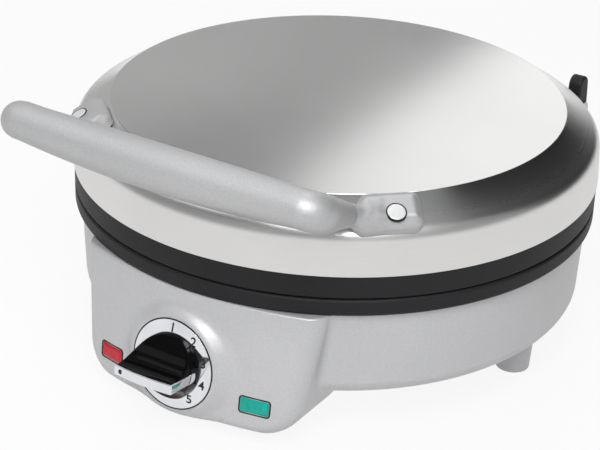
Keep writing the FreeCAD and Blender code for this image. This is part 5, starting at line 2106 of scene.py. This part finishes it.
@dataclass
class Studio:
    """Floor, lamps, cards and sky."""

    target: tuple[float, float, float] = (0.0, 0.0, 0.1)
    floor_size: float = 40.0
    floor_tone: str = "#D4D4D4"
    floor_glow: float = 0.9
    paper_rough: float = 0.9
    horizon: str = "#F2F3F4"
    zenith: str = "#DCDEE0"
    sky_low: float = 0.1
    sky_high: float = 0.9
    sky_strength: float = 0.4
    boxes: tuple[SoftBox, ...] = (
        SoftBox(-14.0, 25.0, 1.8, (0.66, 1.2), -27.0, strength=0.86),
        SoftBox(-105.0, 52.0, 1.9, (1.3, 1.3), 0.0, strength=0.9),
        SoftBox(-20.0, 68.0, 1.7, (0.5, 0.7), 0.0, strength=5.0),
        SoftBox(153.0, 46.0, 1.5, (0.9, 0.8), 0.0, strength=9.6),
    )
    cards: tuple[Card, ...] = (
        Card(-58.0, 12.0, 1.7, (1.95, 0.95), 0.0, tone="#E0E0E0"),
        Card(30.0, 31.0, 1.7, (2.1, 2.2), 0.0, tone="#1E1E1E"),
    )

    def direction(self, azimuth: float, height: float) -> Vector:
        """Gives a direction away from the object.

        Args:
            azimuth: Degrees from the rear towards the right.
            height: Degrees above the table.

        Returns:
            The direction, of length 1.
        """
        a = math.radians(azimuth)
        h = math.radians(height)
        return Vector((math.sin(a) * math.cos(h), math.cos(a) * math.cos(h), math.sin(h)))

    def aim(self, thing: Thing, place: Stand) -> None:
        """Places a thing round the object and turns its -Z side to it.

        Args:
            thing: Lamp or card.
            place: Where it stands.
        """
        way = self.direction(place.azimuth, place.height)
        tilt = Matrix.Rotation(math.radians(place.tilt), 4, "Z")
        turn = way.to_track_quat("Z", "Y").to_matrix().to_4x4() @ tilt
        thing.matrix_world = Matrix.Translation(Vector(self.target) + way * place.distance) @ turn
        thing.visible_camera = False
        bpy.context.scene.collection.objects.link(thing)

    def build(self) -> None:
        """Builds the floor, lamps, cards and sky."""
        self.build_floor()
        self.build_sky()
        for index, box in enumerate(self.boxes):
            lamp = bpy.data.lights.new("soft_box_%d" % index, "AREA")
            lamp.shape = "RECTANGLE"
            lamp.size, lamp.size_y = box.size
            lamp.energy = box.strength * math.pi * box.size[0] * box.size[1]
            self.aim(bpy.data.objects.new("soft_box_%d" % index, lamp), box)
        for index, card in enumerate(self.cards):
            self.build_card(index, card)

    def build_card(self, index: int, card: Card) -> None:
        """Builds one card.

        Args:
            index: Number in its name.
            card: The card.
        """
        paper = self.matt("card_paper_%d" % index, card.tone)
        piece = self.sheet("card_%d" % index, card.size, paper)
        self.aim(piece, card)

    def sheet(self, name: str, size: tuple[float, float], paper: Material) -> Thing:
        """Makes a flat sheet.

        Args:
            name: Name of the sheet.
            size: Its width and height in metres.
            paper: Its material.

        Returns:
            The sheet, not yet in the scene.
        """
        wide, tall = size[0] / 2, size[1] / 2
        corners = [(-wide, -tall, 0), (wide, -tall, 0), (wide, tall, 0), (-wide, tall, 0)]
        mesh = bpy.data.meshes.new(name)
        mesh.from_pydata(corners, [], [(0, 1, 2, 3)])
        mesh.materials.append(paper)
        return bpy.data.objects.new(name, mesh)

    def matt(self, name: str, tone: str) -> Material:
        """Returns a plain matt paper for the studio.

        Args:
            name: Name of the material.
            tone: Its colour.

        Returns:
            The material.
        """
        material = bpy.data.materials.new(name)
        material.use_nodes = True
        shader = material.node_tree.nodes["Principled BSDF"]
        shader.inputs["Base Color"].default_value = linear(tone)
        shader.inputs["Roughness"].default_value = self.paper_rough
        return material

    def build_floor(self) -> None:
        """Builds a white floor that keeps the object's shadow."""
        material = self.matt("white_paper_sweep", self.floor_tone)
        tree = material.node_tree
        shader = tree.nodes["Principled BSDF"]
        path = add_node(tree, "ShaderNodeLightPath")
        shine = add_node(tree, "ShaderNodeMath", {"operation": "MAXIMUM"}, {
            0: path.outputs["Is Camera Ray"], 1: path.outputs["Is Glossy Ray"]})
        seen = add_node(tree, "ShaderNodeMath", {"operation": "MAXIMUM"}, {
            0: shine.outputs[0], 1: path.outputs["Is Transmission Ray"]})
        share = add_node(tree, "ShaderNodeMath", {"operation": "MULTIPLY"}, {
            0: seen.outputs[0], 1: self.floor_glow})
        glow = add_node(tree, "ShaderNodeEmission", inputs={"Color": (1.0, 1.0, 1.0, 1.0), "Strength": 1.0})
        mix = add_node(tree, "ShaderNodeMixShader", inputs={
            0: share.outputs[0], 1: shader.outputs["BSDF"], 2: glow.outputs["Emission"]})
        tree.links.new(mix.outputs["Shader"], tree.nodes["Material Output"].inputs["Surface"])
        floor = self.sheet("floor", (self.floor_size, self.floor_size), material)
        bpy.context.scene.collection.objects.link(floor)

    def build_sky(self) -> None:
        """Builds a pale sky that darkens a little overhead."""
        world = bpy.data.worlds.new("studio_sky")
        world.use_nodes = True
        tree = world.node_tree
        place = add_node(tree, "ShaderNodeTexCoord")
        apart = add_node(tree, "ShaderNodeSeparateXYZ", inputs={"Vector": place.outputs["Generated"]})
        rise = add_node(tree, "ShaderNodeMapRange", inputs={
            "Value": apart.outputs["Z"], "From Min": self.sky_low, "From Max": self.sky_high})
        mix = add_node(tree, "ShaderNodeMix", {"data_type": "RGBA"}, {
            "Factor": rise.outputs["Result"], "A": linear(self.horizon), "B": linear(self.zenith)})
        background = tree.nodes["Background"]
        tree.links.new(mix.outputs["Result"], background.inputs["Color"])
        background.inputs["Strength"].default_value = self.sky_strength
        bpy.context.scene.world = world


@dataclass(frozen=True)
class PhotoCamera:
    """The camera at the photograph's viewing angle, for an image of 600 by 450.

    Attributes:
        azimuth: Degrees to the right of straight ahead.
        elevation: Degrees above the table.
        roll: Degrees that the picture is turned.
        distance: Millimetres to the plane through the parting line's middle.
        shift_right: Millimetres from that middle to the picture's middle.
        shift_up: The same, upwards.
        parting: Height of the parting line.
        lens: Focal length in millimetres.
        sensor: Width of the sensor in millimetres.
        clip: Nearest and farthest distance that shows, in metres.
    """

    azimuth: float = 31.9
    elevation: float = 26.9
    roll: float = 2.0
    distance: float = 977.1
    shift_right: float = -18.9
    shift_up: float = -27.7
    parting: float = 84.0
    lens: float = 108.0
    sensor: float = 36.0
    clip: tuple[float, float] = (0.05, 50.0)

    def build(self, axis_y: float) -> None:
        """Builds the camera.

        Args:
            axis_y: Place of the lid's axis along Y, in metres.
        """
        a, e, r = (math.radians(v) for v in (self.azimuth, self.elevation, self.roll))
        back = Vector((math.sin(a) * math.cos(e), -math.cos(a) * math.cos(e), math.sin(e)))
        level = Vector((math.cos(a), math.sin(a), 0.0))
        rise = back.cross(level)
        right = level * math.cos(r) + rise * math.sin(r)
        up = rise * math.cos(r) - level * math.sin(r)
        eye = right * self.shift_right + up * self.shift_up + back * self.distance
        data = bpy.data.cameras.new("photo_camera")
        data.sensor_width = self.sensor
        data.lens = self.lens
        data.clip_start, data.clip_end = self.clip
        camera = bpy.data.objects.new("photo_camera", data)
        place = (eye + Vector((0.0, 0.0, self.parting))) * MM + Vector((0.0, axis_y, 0.0))
        camera.matrix_world = Matrix.Translation(place) @ Matrix((right, up, back)).transposed().to_4x4()
        bpy.context.scene.collection.objects.link(camera)
        bpy.context.scene.camera = camera


def main() -> None:
    """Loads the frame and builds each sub-assembly in order."""
    logging.basicConfig(level=logging.INFO, format="%(message)s")
    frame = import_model()
    low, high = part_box("lid_cover")
    shop = Workshop(frame, (low[1] + high[1]) / 2)
    bpy.context.scene.view_settings.view_transform = "Standard"
    Lid(shop).build()
    Handle(shop).build()
    Plates(shop).build()
    Base(shop).build()
    Dial(shop).build()
    Lamps(shop).build()
    InnerWorks(shop).build()
    Studio().build()
    PhotoCamera().build(shop.axis_y)


if __name__ == "__main__":
    main()
